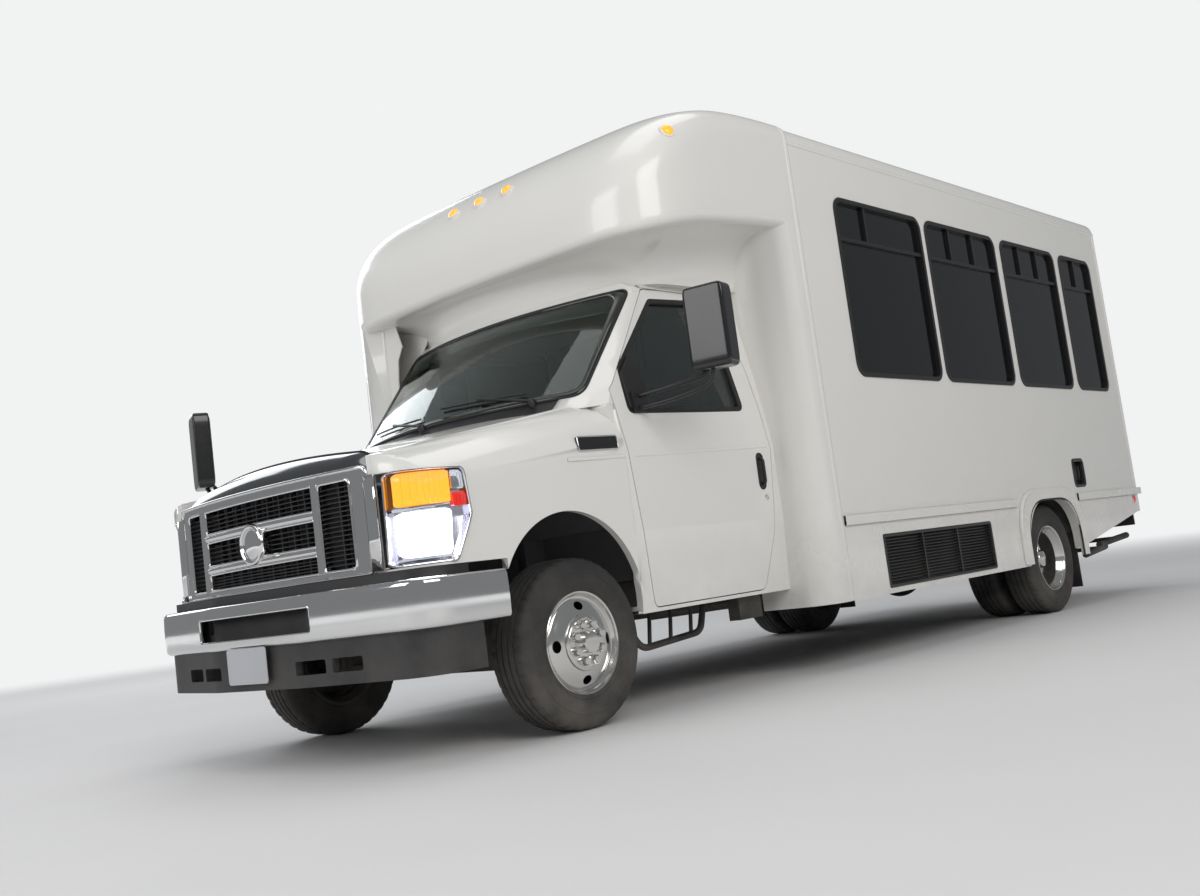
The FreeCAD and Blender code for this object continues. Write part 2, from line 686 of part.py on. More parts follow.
def cab():
    outer = cab_solid(0)
    inner = cab_solid(cab_skin)
    shell = outer.cut(inner)
    wells = []
    for side in (1, -1):
        arch = Part.makeCylinder(front_arch_radius, 520, Vector(front_x + 20, side * 520, front_arch_z),
                                 Vector(0, side, 0))
        below = block(behind(398), ahead(front_arch_radius + 20), min(side * 520, side * 1100),
                      max(side * 520, side * 1100), 0, front_arch_z)
        ahead_of_arch = block(ahead(395), ahead(1000), min(side * 400, side * 1100),
                              max(side * 400, side * 1100), 0, grille_low_z)
        wells += [arch, below, ahead_of_arch]
    under = block(behind(cab_back) - 60, ahead(1000), -900, 900, 0, 590)
    room = rectangle(-grille_half - 1, grille_half + 1, 0, header_chrome_z + 60, 0)
    grille_hole = front_plate(room, ahead(500), ahead(1000)).cut(bow(header_depth + 1, 0, 1500))
    kerb_side = block(behind(cab_back) - 60, behind(entry_panel_back + wall), -1100, -740, 0, header_z - 24)
    cutters = wells + [under, grille_hole, kerb_side, windshield_cutter(0), door_outline(shut_gap),
                       hood_cutter(shut_gap), cowl_cutter()] + both(headlamp_cutter(0))
    jamb = cab_solid(door_thick + running_gap).cut(cab_solid(door_thick + 16))
    jamb = jamb.common(door_outline(30).cut(door_outline(-26)))
    jamb = jamb.common(block(behind(1700), behind(565), 500, 1200, 0, 2300))
    gutter = cab_solid(hood_skin + running_gap).cut(cab_solid(hood_skin + 14))
    gutter = gutter.common(hood_cutter(10).cut(hood_cutter(-22))).cut(grille_hole)
    body = shell.cut(Part.makeCompound(cutters)).multiFuse([jamb,
                                                            gutter]).cut(cab_solid(3).common(cowl_cutter()))
    # slivers left ahead of the fenders are dropped
    save("cab_shell", max(body.Solids, key=lambda solid: solid.Volume))

    band = outer.cut(cab_solid(door_thick))
    door = band.common(door_outline(0)).common(block(behind(1700), front_x, 500, 1200, 0, 2300))
    opening = door_outline(0, True)
    rebate = cab_solid(door_lip).cut(door_outline(-door_rebate))
    foot = block(behind(1700), front_x, 500, door_foot_half, 0, door_foot_top)
    head = block(behind(1700), front_x, 500, door_head_half, door_head_low, 2200)
    save("driver_door", door.cut(opening).cut(rebate.multiFuse([foot, head])))
    pane = cab_solid(22).cut(cab_solid(22 + glass)).common(opening)
    save("driver_glass", pane.common(block(behind(1700), front_x, 500, 1200, 0, 2300)))

    hood = outer.cut(cab_solid(hood_skin)).common(hood_cutter(0))
    save("hood", hood)
    shield = glass_front(0, 1440, 2200).cut(glass_front(glass * 1.6, 1440, 2200)).common(windshield_cutter(0))
    save("windshield", shield)
    lamps = nose_plan(6, 700, 1200).cut(nose_plan(90, 700, 1200)).common(headlamp_cutter(-2))
    save("headlamps", lamps.common(cab_solid(3)), flip(lamps.common(cab_solid(3))))
    return outer


def cab_inside():
    floor_z = 640.0
    half = cab_half - 150
    step = [(behind(cab_back), 600), (behind(500), 600), (behind(500), 850), (behind(330), 850),
            (behind(330), 1420),
            (behind(366), 1420), (behind(366), 886), (behind(536), 886), (behind(536), floor_z),
            (behind(cab_back), floor_z)]
    pan = side_plate([(x, z, 0) for x, z in step], -half, half)
    cover = side_plate([(behind(366), floor_z, 0), (behind(366), 1080, 0), (behind(800), 1060, 80),
                        (behind(960), floor_z, 0)], -310, 310)
    entry_cut = block(behind(cab_back), behind(entry_panel_back + 60), -half, stair_edge, 500, 900)
    save("cab_floor", pan.fuse(cover).cut(entry_cut).common(cab_solid(cab_skin)))

    dash = side_plate([(behind(368), 1100, 0), (behind(368), 1415, 0), (behind(560), 1400, 40),
                       (behind(740), 1300, 50),
                       (behind(720), 1110, 40), (behind(560), 1085, 30)], -765, 765)
    column_top = Vector(behind(905), 440, 1330)
    axis = Vector(-0.86, 0, 0.5).normalize()
    foot = column_top - axis * 330
    column = Part.makeCylinder(30, 330, foot, axis)
    rim = Part.makeTorus(190, 15, column_top, axis)
    spoke_across = Vector(0, 1, 0)
    spokes = [Part.makeCylinder(12, 380, column_top - spoke_across * 190, spoke_across)]
    spokes.append(Part.makeCylinder(12, 190, column_top, axis.cross(spoke_across)))
    save("dashboard", dash.common(cab_solid(cab_skin + 1)).multiFuse([column, rim] + spokes))

    centre_y = 440.0
    seat = [
        side_plate(rectangle(behind(1430), behind(960), 1010, 1110, 35), centre_y - 250, centre_y + 250),
        side_plate([(behind(1400), 1060, 20), (behind(1290), 1060, 20), (behind(1400), 1760, 40),
                    (behind(1500), 1760, 40)], centre_y - 240, centre_y + 240),
        block(behind(1400), behind(1010), centre_y - 180, centre_y + 180, floor_z, 1015),
    ]
    save("driver_seat", seat[0].multiFuse(seat[1:]))


def front_face():
    # slab that follows the bowed front, between two offsets
    def slab(out, back):
        return bow(out, 740, 1320).cut(bow(back, 735, 1325))

    x0, x1 = ahead(600), ahead(1000)
    out = [(-grille_half, grille_low_z, 30), (grille_half, grille_low_z, 30), (grille_half, 1150, 0),
           (grille_half - 60, header_chrome_z - 50, 30), (0, header_chrome_z, 0),
           (-grille_half + 60, header_chrome_z - 50, 30), (-grille_half, 1150, 0)]
    face = front_plate(out, x0, x1)
    # the header slopes back to the hood's front edge
    lean = [(x0, 700, 0), (ahead(grille_centre + 5), 700, 0), (ahead(grille_centre + 5), grille_high_z, 0),
            (ahead(grille_centre - header_depth), header_chrome_z + 4, 0), (x0, header_chrome_z + 4, 0)]
    face = face.common(side_plate(lean, -800, 800))
    openings = []
    inner_low = grille_low_z + grille_frame
    inner_high = grille_high_z - grille_frame
    field = side_bar_y - side_bar_width / 2
    edges = [inner_low]
    for z in cross_bar_z:
        edges += [z - cross_bar / 2, z + cross_bar / 2]
    edges.append(inner_high)
    fields = list(zip(edges[0::2], edges[1::2]))
    for low, high in fields:
        openings.append(front_plate(rectangle(-field, field, low, high, 8), x0, x1))
    for side in (1, -1):
        a, b = sorted((side * (side_bar_y + side_bar_width / 2), side * side_slot_half))
        openings.append(front_plate(rectangle(a, b, inner_low, inner_high, 14), x0, x1))
    frame = face.cut(Part.makeCompound(openings)).common(slab(0, 70))
    top = face.common(slab(0, header_depth)).common(block(x0, x1, -800, 800, inner_high, 1320))
    surround = frame.fuse(top)
    boss = Part.makeCylinder(boss_radius, 70, Vector(ahead(grille_centre - 66), 0, boss_z), Vector(1, 0, 0))
    ring = Part.makeTorus(boss_radius - 8, 8, Vector(ahead(grille_centre + 4), 0, boss_z), Vector(1, 0, 0))
    save("grille_surround", surround.multiFuse([boss, ring]))

    # moulded insert: a backing wall with slats and ribs standing out into each field
    bars = []
    for low, high in fields:
        pitch = (high - low) / (slats_per_field + 1)
        for i in range(slats_per_field):
            z = low + pitch * (i + 1)
            bars.append(block(x0, x1, -field, field, z - slat / 2, z + slat / 2))
        for i in range(7):
            y = -field + (i + 1) * 2 * field / 8
            bars.append(block(x0, x1, y - slat / 2, y + slat / 2, low, high))
    for side in (1, -1):
        y = side * (side_bar_y + side_slot_half) / 2
        count = 9
        for i in range(count):
            z = inner_low + (i + 1) * (inner_high - inner_low) / (count + 1)
            bars.append(block(x0, x1, y - 86, y + 86, z - slat / 2, z + slat / 2))
    within = Part.makeCompound(openings)
    bar_set = bars[0].multiFuse(bars[1:]).common(within).common(slab(22, 72))
    wall_plate = front_plate(rectangle(-side_slot_half - 20, side_slot_half + 20, inner_low - 20,
                                       inner_high, 10),
                             x0, x1).common(slab(70, 84))
    boss_room = Part.makeCylinder(boss_radius + 1, 120, Vector(ahead(grille_centre - 100), 0, boss_z),
                                  Vector(1, 0, 0))
    save("grille_mesh", bar_set.fuse(wall_plate.fuse(bar_set.common(wall_plate))).cut(boss_room))


def bumper_ring(inset, thick, z0, z1, end):
    def outline(extra):
        half = bumper_half - inset - extra
        front = nose_x - plate_thick - inset - extra
        left = [(ahead(end) - (extra > 0) * 10, half, 0), (ahead(870) - inset - extra, half, 200),
                (front, 330, 500)]
        return left + [(x, -y, r) for x, y, r in reversed(left)]
    return plan_plate(outline(0), z0, z1).cut(plan_plate(outline(thick), z0 - 1, z1 + 1))


def front_bumper():
    ring = bumper_ring(0, bumper_wall, bumper_low_z, bumper_high_z, bumper_end)
    slot = front_plate(rectangle(-slot_half, slot_half, slot_low_z, slot_high_z, 14), ahead(700), nose_x + 10)
    brackets = [block(ahead(780), nose_x - plate_thick - bumper_wall, side * rail_y - 30,
                      side * rail_y + 30, 600, 700)
                for side in (1, -1)]
    save("front_bumper", ring.cut(slot).multiFuse([b.cut(slot) for b in brackets]))
    room = rectangle(-grille_half - 1, grille_half + 1, grille_low_z - 2, grille_low_z + 1, 0)

    skirt = bumper_ring(22, 30, valance_low_z, bumper_low_z, 575)
    slots = []
    for side in (1, -1):
        for y0, y1 in ((290, 465), (500, 662)):
            a, b = sorted((side * y0, side * y1))
            slots.append(front_plate(rectangle(a, b, 395, 452, 10), ahead(600), nose_x + 10))
    filler = bumper_ring(45, 24, bumper_low_z - 8, grille_low_z, 600).cut(Part.makeCompound(brackets))
    skirt = skirt.cut(Part.makeCompound(slots)).fuse(filler)
    save("front_valance", skirt.cut(front_plate(room, 0, ahead(1000))))

    middle_y = -35.0
    low = 376.0
    outline = rectangle(middle_y - plate_length / 2, middle_y + plate_length / 2, low, low + plate_height, 14)
    front_piece = front_plate(outline, nose_x - plate_thick, nose_x)
    rear = rectangle(-plate_length / 2, plate_length / 2, 0, plate_height, 14)
    base_z = 1010.0
    rear_y = 700.0
    rear_piece = front_plate([(y + rear_y, z + base_z, r) for y, z, r in rear], body_rear_x - plate_thick,
                             body_rear_x)
    holes = [Part.makeCylinder(plate_hole_radius, 30, Vector(body_rear_x - 20, rear_y + s * plate_hole_spacing / 2,
                                                             base_z + plate_height - 18), Vector(1, 0, 0))
             for s in (1, -1)]
    save("plates", front_piece, rear_piece.cut(Part.makeCompound(holes)))


# Box body
def window_places():
    for start, width, bars in windows:
        yield seam_x - start - width, seam_x - start, bars


def arch_outline(half, top, low):
    return [(rear_x - half, low, 0), (rear_x + half, low, 0), (rear_x + half, top, arch_radius),
            (rear_x - half, top, arch_radius)]


def side_walls():
    outline = [(seam_x, skirt_z, 0), (seam_x, side_top_z, 0), (body_rear_x + wall, side_top_z, 0),
               (body_rear_x + wall, tail_skirt_z, 0), (rear_x - flare_half - 40, flare_rear_z, 0),
               (rear_x, skirt_z, 0)]
    panel = side_plate(outline, half_width - wall, half_width)
    holes = [side_plate(rectangle(x0, x1, window_sill_z, window_top_z, window_corner), half_width - 60,
                        half_width + 20)
             for x0, x1, bars in window_places()]
    inner_half = flare_half - flare_band
    inner_top = flare_top_z - flare_band + 20
    holes.append(side_plate(arch_outline(inner_half, inner_top, 200), half_width - 60, half_width + 20))
    filler = rectangle(seam_x - filler_start - filler_width, seam_x - filler_start, filler_low_z,
                       filler_high_z, 30)
    grille = rectangle(seam_x - condenser_start - condenser_length, seam_x - condenser_start, condenser_low_z,
                       condenser_high_z, 12)
    fittings = [side_plate(filler, half_width - 60, half_width + 20),
                side_plate(grille, half_width - 60, half_width + 20)]
    left = panel.cut(Part.makeCompound(holes + fittings))
    right = flip(panel.cut(Part.makeCompound(holes)))
    save("side_wall_left", left)
    save("side_wall_right", right)

    # recessed filler box and condenser grille with its slats
    cup = side_plate(filler, half_width - wall, half_width + 4)
    hollow = side_plate([(u + s * 16, w + t * 16, 20) for (u, w, r), s, t in
                         zip(filler, (1, -1, -1, 1), (1, 1, -1, -1))], half_width - 28, half_width + 10)
    cap = Part.makeCylinder(48, 26, Vector(seam_x - filler_start - filler_width / 2, half_width - 30,
                                           (filler_low_z + filler_high_z) / 2), Vector(0, 1, 0))
    frame = side_plate(grille, half_width - 22, half_width + 5)
    rim = 22.0
    window = side_plate([(u + s * rim, w + t * rim, 6) for (u, w, r), s, t in
                         zip(grille, (1, -1, -1, 1), (1, 1, -1, -1))], half_width - 14, half_width + 10)
    slats = []
    count = 9
    low, high = condenser_low_z + rim, condenser_high_z - rim
    for i in range(count):
        z = low + (i + 0.5) * (high - low) / count
        slats.append(block(grille[0][0] + rim, grille[1][0] - rim, half_width - 16, half_width - 1, z - 4,
                           z + 4))
    save("side_fittings", cup.cut(hollow).fuse(cap), frame.cut(window).multiFuse(slats))


def window_units():
    frames = []
    panes = []
    for x0, x1, bars in window_places():
        outer = side_plate(rectangle(x0, x1, window_sill_z, window_top_z, window_corner),
                           half_width - wall, half_width + frame_proud)
        inner = side_plate(rectangle(x0 + window_frame, x1 - window_frame, window_sill_z + window_frame,
                                     window_top_z - window_frame, window_corner - window_frame),
                           half_width - wall - 5, half_width + frame_proud + 5)
        pane = inner.common(block(x0, x1, half_width - 26, half_width - 26 + glass, 1000, 2700))
        rail_z = window_top_z - vent_height
        y0, y1 = half_width - 26 + glass, half_width - 2
        pieces = [block(x0 + window_frame / 2, x1 - window_frame / 2, y0, y1, rail_z - vent_bar, rail_z)]
        for share in bars:
            x = x1 - share * (x1 - x0)
            pieces.append(block(x - vent_bar / 2, x + vent_bar / 2, y0, y1, rail_z - 5,
                                window_top_z - window_frame / 2))
        frames.append(outer.cut(inner).multiFuse(pieces))
        panes.append(pane)
    save("window_frames", *(frames + [flip(f) for f in frames]))
    save("window_glass", *(panes + [flip(p) for p in panes]))


def roof_and_floor():
    def outline(inset):
        half = half_width - inset
        return half, roof_top_z - inset

    shapes = []
    for inset in (0, wall):
        half, top = outline(inset)
        base = side_top_z if inset == 0 else side_top_z - 1
        radius = cove_radius - inset * 0.6
        points = [(half, base, 0), (half, top - 14, radius), (0, top, 4000), (-half, top - 14, radius),
                  (-half, base, 0)]
        shapes.append(front_plate(points, body_rear_x, seam_x))
    save("roof", shapes[0].cut(shapes[1]))

    rear, front, half = body_rear_x + wall, behind(cab_back) - wall, half_width - wall
    slab = plan_plate([(rear, half, 0), (front, half, wing_radius - wall), (front, -half, 0),
                       (rear, -half, 0)],
                      floor_top_z - wall, floor_top_z)
    riser = block(front, front + wall, -700, 795, 600, floor_top_z)
    cross = [block(x, x + 50, -half_width + wall, half_width - wall, rail_top_z, floor_top_z - wall)
             for x in (rear_x + 900, rear_x + 1700, rear_x + 2400, rear_x - 900, rear_x - 1600)]
    save("floor", slab.multiFuse([riser] + cross))

    # stairwell inside the kerb-side doorway: two treads and a landing level with the floor
    inside = -half_width + wall
    sheet = 24.0
    low, mid, high = entry_low_z, 602.0, floor_top_z - 1
    landing = -330.0
    steps = [(inside, low), (inside + tread, low), (inside + tread, mid), (stair_edge, mid),
             (stair_edge, high - sheet),
             (landing - sheet, high - sheet), (landing - sheet, 640), (landing, 640), (landing, high),
             (stair_edge - sheet, high), (stair_edge - sheet, mid + sheet), (inside + tread - sheet, mid + sheet),
             (inside + tread - sheet, low + sheet), (inside, low + sheet)]
    stair = front_plate([(y, z, 0) for y, z in steps], behind(cab_back), behind(entry_front_back))
    save("step_well", stair)


def rear_end():
    panel = front_plate([(half_width - wall, tail_skirt_z, 0), (half_width - wall, side_top_z, 0),
                         (-half_width + wall, side_top_z, 0), (-half_width + wall, tail_skirt_z, 0)],
                        body_rear_x, body_rear_x + wall)
    top = front_plate([(half_width - wall, side_top_z, 0), (half_width - wall - 60, roof_top_z - wall - 52,
                                                            0),
                       (0, roof_top_z - wall - 8, 0), (-half_width + wall + 60, roof_top_z - wall - 52,
                                                       0), (-half_width + wall, side_top_z, 0)],
                      body_rear_x, body_rear_x + wall)
    posts = [block(body_rear_x, body_rear_x + wall, side * half_width - (side > 0) * wall,
                   side * half_width + (side < 0) * wall, tail_skirt_z, side_top_z) for side in (1, -1)]
    opening = front_plate(rectangle(-rear_door_half - shut_gap, rear_door_half + shut_gap,
                                    rear_door_low_z - shut_gap,
                                    rear_door_high_z + shut_gap, 60), body_rear_x - 10, body_rear_x + 60)
    pivot = Vector(body_rear_x - barrel_radius, -rear_door_half - shut_gap / 2, 0)
    fixed = []
    moving = []
    for z in rear_hinges:
        fixed += hinge_half(pivot + Vector(0, 0, z), Vector(0, -1, 0), 0)
        moving += hinge_half(pivot + Vector(0, 0, z), Vector(0, 1, 0), 1)
    save("rear_wall", panel.multiFuse([top] + posts).cut(opening).multiFuse(fixed))

    face = body_rear_x
    door = front_plate(rectangle(-rear_door_half, rear_door_half, rear_door_low_z, rear_door_high_z, 60),
                       face, face + 36)
    pane_outline = rectangle(-rear_door_half + 90, rear_door_half - 90, rear_glass_low_z,
                             rear_door_high_z - 90, 60)
    hole = front_plate(pane_outline, face - 10, face + 60)
    handle = block(face - 34, face - 16, rear_door_half - 130, rear_door_half - 105, 1180, 1380)
    feet = [block(face - 16, face, rear_door_half - 130, rear_door_half - 105, z, z + 24) for z in (1190, 1346)]
    save("rear_door", door.cut(hole).multiFuse([handle] + feet + moving))
    save("rear_glass", front_plate(pane_outline, face + 14, face + 14 + glass))

    outline = [(tail_x + 110, 1150, 0), (tail_x, 1120, 60), (tail_x, -1120, 60), (tail_x + 110, -1150, 0)]
    beam = plan_plate(outline, 500, 682)
    arm_top = rail_top_z - rail_height
    arms = [block(tail_x + 100, body_rear_x + 200, side * rail_y - 30, side * rail_y + 30, arm_top - 70,
                  arm_top)
            for side in (1, -1)]
    save("rear_bumper", beam.multiFuse(arms))

    lamps = []
    for side in (1, -1):
        y = side * (half_width - 130)
        for z in (930, 1090, 1250):
            lamps.append(Part.makeCylinder(55, 24, Vector(face, y, z), Vector(-1, 0, 0)))
        for z in (2700,):
            lamps.append(Part.makeCylinder(32, 20, Vector(face, y, z), Vector(-1, 0, 0)))
    marker_x = behind(6090)
    for side in (1, -1):
        lamps.append(Part.makeCylinder(24, 16, Vector(marker_x, side * half_width, 698), Vector(0, side, 0)))
    for y in (-152, 0, 152):
        lamps.append(Part.makeCylinder(24, 16, Vector(face, y, 2720), Vector(-1, 0, 0)))
    save("tail_lamps", *lamps)


def side_trim():
    rails = []
    for x0, x1 in ((rear_x + flare_half, seam_x - 30), (body_rear_x - 60, rear_x - flare_half)):
        rails.append(block(x0, x1, half_width, half_width + rail_proud, rail_low_z, rail_high_z))
    save("side_rails", *(rails + [flip(r) for r in rails]))

    outer = side_plate(arch_outline(flare_half, flare_top_z, skirt_z + 10), half_width,
                       half_width + flare_proud)
    inner = side_plate(arch_outline(flare_half - flare_band, flare_top_z - flare_band + 20, 200),
                       half_width - 5,
                       half_width + flare_proud + 5)
    band = outer.cut(inner)
    save("wheel_flares", band, flip(band))

    flap = block(rear_x - 460, rear_x - 450, 690, half_width - wall - 2, 130, floor_top_z - wall)
    save("mudflaps", flap, flip(flap))


def wing():
    x0, x1 = behind(wing_back), seam_x
    outline = [(x1, half_width, 0), (x0, half_width, wing_radius), (x0, 800, 0), (x0 - wall, 800, 0),
               (x0 - wall, half_width - wall, wing_radius - wall), (x1, half_width - wall, 0)]
    return plan_plate(outline, skirt_z, wall_panel_top_z)


def bezier(poles, weights=None):
    curve = Part.BezierCurve()
    curve.setPoles(poles)
    for i, weight in enumerate(weights or []):
        curve.setWeight(i + 1, weight)
    return curve.toShape()


def cap_profile(station, before, after):
    # closed section of the cap's wall at one station: roof edge, dome, wall, lip, cove and the way back inside
    back, y, roof_back, roof_y, shoulder, lip, foot_back, foot_y = station
    wall_at = Vector(behind(back), y, 0)
    roof_at = Vector(behind(roof_back), roof_y, 0)
    foot_at = Vector(behind(foot_back), foot_y, 0)
    run = Vector(behind(after[0]) - behind(before[0]), after[1] - before[1], 0)
    inward = Vector(-run.y, run.x, 0).normalize()
    if inward.dot(roof_at.sub(wall_at) + Vector(-1, 0, 0)) < 0:
        inward = inward * -1

    def chain(inset):
        radius = lip_radius - inset
        outer = wall_at + inward * inset
        edge = roof_at + inward * (inset * 0.4)
        low = lip + inset
        top = Vector(0, 0, roof_top_z - inset)
        dome = [edge + top, outer + top, outer + Vector(0, 0, shoulder)]
        wall_low = outer + Vector(0, 0, low + radius)
        under = outer + inward * radius + Vector(0, 0, low)
        lip_curve = [wall_low, outer + Vector(0, 0, low), under]
        foot = foot_at + inward * inset + Vector(0, 0, cove_foot_z + (wall if inset else 0))
        across = Vector(foot.x - under.x, foot.y - under.y, 0)
        first = under + across * 0.62
        second = foot + Vector(0, 0, (under.z - foot.z) * 0.62) - across * 0.02
        return dome, lip_curve, [under, first, second, foot]

    dome, lip_curve, cove = chain(0)
    dome_in, lip_in, cove_in = chain(wall)
    roof_end = roof_at + inward * cap_roof_ledge + Vector(0, 0, roof_top_z)
    roof_end_in = roof_end - Vector(0, 0, wall)
    foot_end = foot_at + inward * cap_foot_ledge + Vector(0, 0, cove_foot_z)
    foot_end_in = foot_end + Vector(0, 0, wall)

    def line(a, b):
        return Part.LineSegment(a, b).toShape()

    round_weights = [1.0, math.sqrt(0.5), 1.0]
    edges = [line(roof_end, dome[0]), bezier(dome, round_weights), line(dome[2], lip_curve[0]),
             bezier(lip_curve, round_weights), bezier(cove), line(cove[3], foot_end), line(foot_end, foot_end_in),
             line(foot_end_in, cove_in[3]), bezier(cove_in[::-1]), bezier(lip_in[::-1], round_weights),
             line(lip_in[0], dome_in[2]), bezier(dome_in[::-1], round_weights), line(dome_in[0], roof_end_in),
             line(roof_end_in, roof_end)]
    return Part.Wire(edges)


def cap_band():
    mirrored = [(s[0], -s[1], s[2], -s[3], s[4], s[5], s[6], -s[7]) for s in cap_stations[:0:-1]]
    known = mirrored + cap_stations
    rows = []
    for i in range(len(known) - 1):
        a, b, c, d = known[max(i - 1, 0)], known[i], known[i + 1], known[min(i + 2, len(known) - 1)]
        rows.append(b)
        rows.append(tuple((9 * (q + r) - p - s) / 16 for p, q, r, s in zip(a, b, c, d)))
    rows.append(known[-1])
    wires = []
    for i, row in enumerate(rows):
        before = rows[max(i - 1, 0)]
        after = rows[min(i + 1, len(rows) - 1)]
        wires.append(cap_profile(row, before, after))
    return Part.makeLoft(wires, True, False)


def front_cap():
    band = cap_band()
    half_ledge = cap_roof_ledge / 2
    inner = [(behind(s[2]) - half_ledge, s[3]) for s in cap_stations]
    inner = [(x, min(y, 1107.0 - half_ledge), 0) for x, y in inner[:-1]] + [(seam_x, 1107.0 - half_ledge, 0)]
    outline = inner + [(x, -y, r) for x, y, r in reversed(inner[1:])]
    panel = plan_plate(outline, roof_top_z - wall, roof_top_z)
    front = behind(entry_panel_back)
    kerb_outline = [(seam_x, -half_width, 0), (front, -half_width, entry_panel_radius), (front, -940, 0),
                    (front - wall, -940, 0), (front - wall, -half_width + wall, entry_panel_radius - wall),
                    (seam_x, -half_width + wall, 0)]
    kerb = plan_plate(kerb_outline, skirt_z, wall_panel_top_z)
    entry = side_plate(rectangle(behind(entry_front_back) - entry_width - shut_gap,
                                 behind(entry_front_back) + shut_gap,
                                 entry_low_z - shut_gap, entry_high_z + shut_gap, 12), -half_width - 20,
                       -half_width + 400)
    hinge_x = behind(entry_front_back) + shut_gap / 2
    barrels = []
    for x, way in ((hinge_x, 1), (hinge_x - entry_width - shut_gap, -1)):
        for z in entry_hinges:
            barrels += hinge_half(Vector(x, -half_width - barrel_radius, z), Vector(way, 0, 0), 0)
    save("front_cap", band.multiFuse([panel, wing(), kerb]).cut(entry).cut(cab_solid(0)).multiFuse(barrels))

    lamps = []
    for back, y, z, way in marker_lamps_at:
        facing = Vector(*way).normalize()
        lamps.append(Part.makeCylinder(30, 32, Vector(behind(back), y, z) - facing * 16, facing).cut(band))
    save("marker_lamps", *lamps)


def entry_door():
    front = behind(entry_front_back)
    half_leaf = entry_width / 2
    spans = {"front": (front - half_leaf + shut_gap / 2, front),
             "rear": (front - entry_width, front - half_leaf - shut_gap / 2)}
    for name, (x0, x1) in spans.items():
        y0, y1 = -half_width, -half_width + leaf
        body = side_plate(rectangle(x0, x1, entry_low_z, entry_high_z, 12), y0, y1)
        pane_outline = rectangle(x0 + leaf_frame, x1 - leaf_frame, entry_low_z + 130,
                                 entry_high_z - leaf_frame, 50)
        edge = x1 + shut_gap / 2 if name == "front" else x0 - shut_gap / 2
        way = Vector(-1 if name == "front" else 1, 0, 0)
        barrels = []
        for z in entry_hinges:
            barrels += hinge_half(Vector(edge, y0 - barrel_radius, z), way, 1)
        save("entry_leaf_" + name, body.cut(side_plate(pane_outline, y0 - 5, y1 + 5)).multiFuse(barrels))
        save("entry_glass_" + name, side_plate(pane_outline, y0 + 14, y0 + 14 + glass))


def mirror_head(at, size, turn):
    depth, width, height = size
    low, high = -width / 2 + mirror_taper, width / 2 - mirror_taper
    plan = [(-depth / 2, -width / 2, mirror_rear_round), (depth / 2, low, mirror_front_round),
            (depth / 2, high, mirror_front_round), (-depth / 2, width / 2, mirror_rear_round)]
    head = plan_plate(plan, -height / 2, height / 2)
    rims = [edge for edge in head.Edges if edge.BoundBox.ZLength < tiny]
    head = head.makeFillet(mirror_end_round, rims)
    head.rotate(Vector(0, 0, 0), Vector(0, 0, 1), turn)
    head.translate(at)
    return head


def mirrors():
    x, y, z = behind(680), 1400.0, 1700.0
    arms = []
    for z0, z1 in ((1372, 1470), (1412, 1530)):
        path = [Vector(behind(560), 978, z0), Vector(behind(600), 1240, z0 + 20), Vector(x, y, z1 + 60)]
        arms.append(tube(path, mirror_arm_radius))
    base = side_plate(rectangle(behind(600), behind(515), 1330, 1440, 20), 970, 1000)
    head = mirror_head(Vector(x, y, z), mirror_left_size, mirror_left_turn)
    save("mirror_left", head.multiFuse(arms + [base]).cut(cab_solid(0)))

    x, y, z = ahead(340), -1400.0, 1580.0
    fender_y = -998.5
    arms = []
    for shift in (-50, 50):
        path = [Vector(ahead(220 + shift), fender_y - 9, 1130), Vector(ahead(270 + shift), -1250, 1230),
                Vector(x + shift / 3, y, 1420)]
        arms.append(tube(path, mirror_arm_radius))
    base = side_plate(rectangle(ahead(130), ahead(310), 1090, 1170, 20), fender_y - 24, fender_y)
    head = mirror_head(Vector(x, y, z), mirror_right_size, mirror_right_turn)
    save("mirror_right", head.multiFuse(arms + [base]))


def cowl():
    save("cowl", cab_solid(3).cut(cab_solid(hood_skin)).common(cowl_cutter()))


def seats():
    pieces = []
    floor_z = floor_top_z
    for row in range(seat_rows):
        front = seam_x - seat_first - row * seat_pitch
        for side in (1, -1):
            outer = side * (half_width - wall - 20)
            inner = outer - side * seat_width
            y0, y1 = sorted((outer, inner))
            cushion = side_plate(rectangle(front - 440, front, floor_z + 330, floor_z + 450, 40), y0, y1)
            back = side_plate([(front - 430, floor_z + 380, 20), (front - 340, floor_z + 380, 20),
                               (front - 440, floor_z + 1050, 40), (front - 530, floor_z + 1050, 40)], y0, y1)
            leg = block(front - 380, front - 80, inner + side * 60 - 20, inner + side * 60 + 20, floor_z,
                        floor_z + 340)
            pieces.append(cushion.multiFuse([back, leg]))
    save("passenger_seats", *pieces)


wheels()
knuckles()
front_axle()
rear_axle()
chassis()
cab()
cab_inside()
front_face()
front_bumper()
side_walls()
window_units()
roof_and_floor()
rear_end()
side_trim()
front_cap()
entry_door()
mirrors()
cowl()
seats()
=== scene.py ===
# %% [markdown]
# # A white shuttle minibus, dressed around its CAD frame
#
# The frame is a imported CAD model, so every panel, wheel and door already has its real size and place.
# Blender adds what CAD leaves plain: paint, plating, rubber, tinted glass, lamps, seals, tread and cushions.
# All lengths are metres, with X forward, Y to the driver's side and Z up, as in the frame.

# %% Load the frame
import json
import math
import bmesh
import bpy
from mathutils import Matrix, Vector


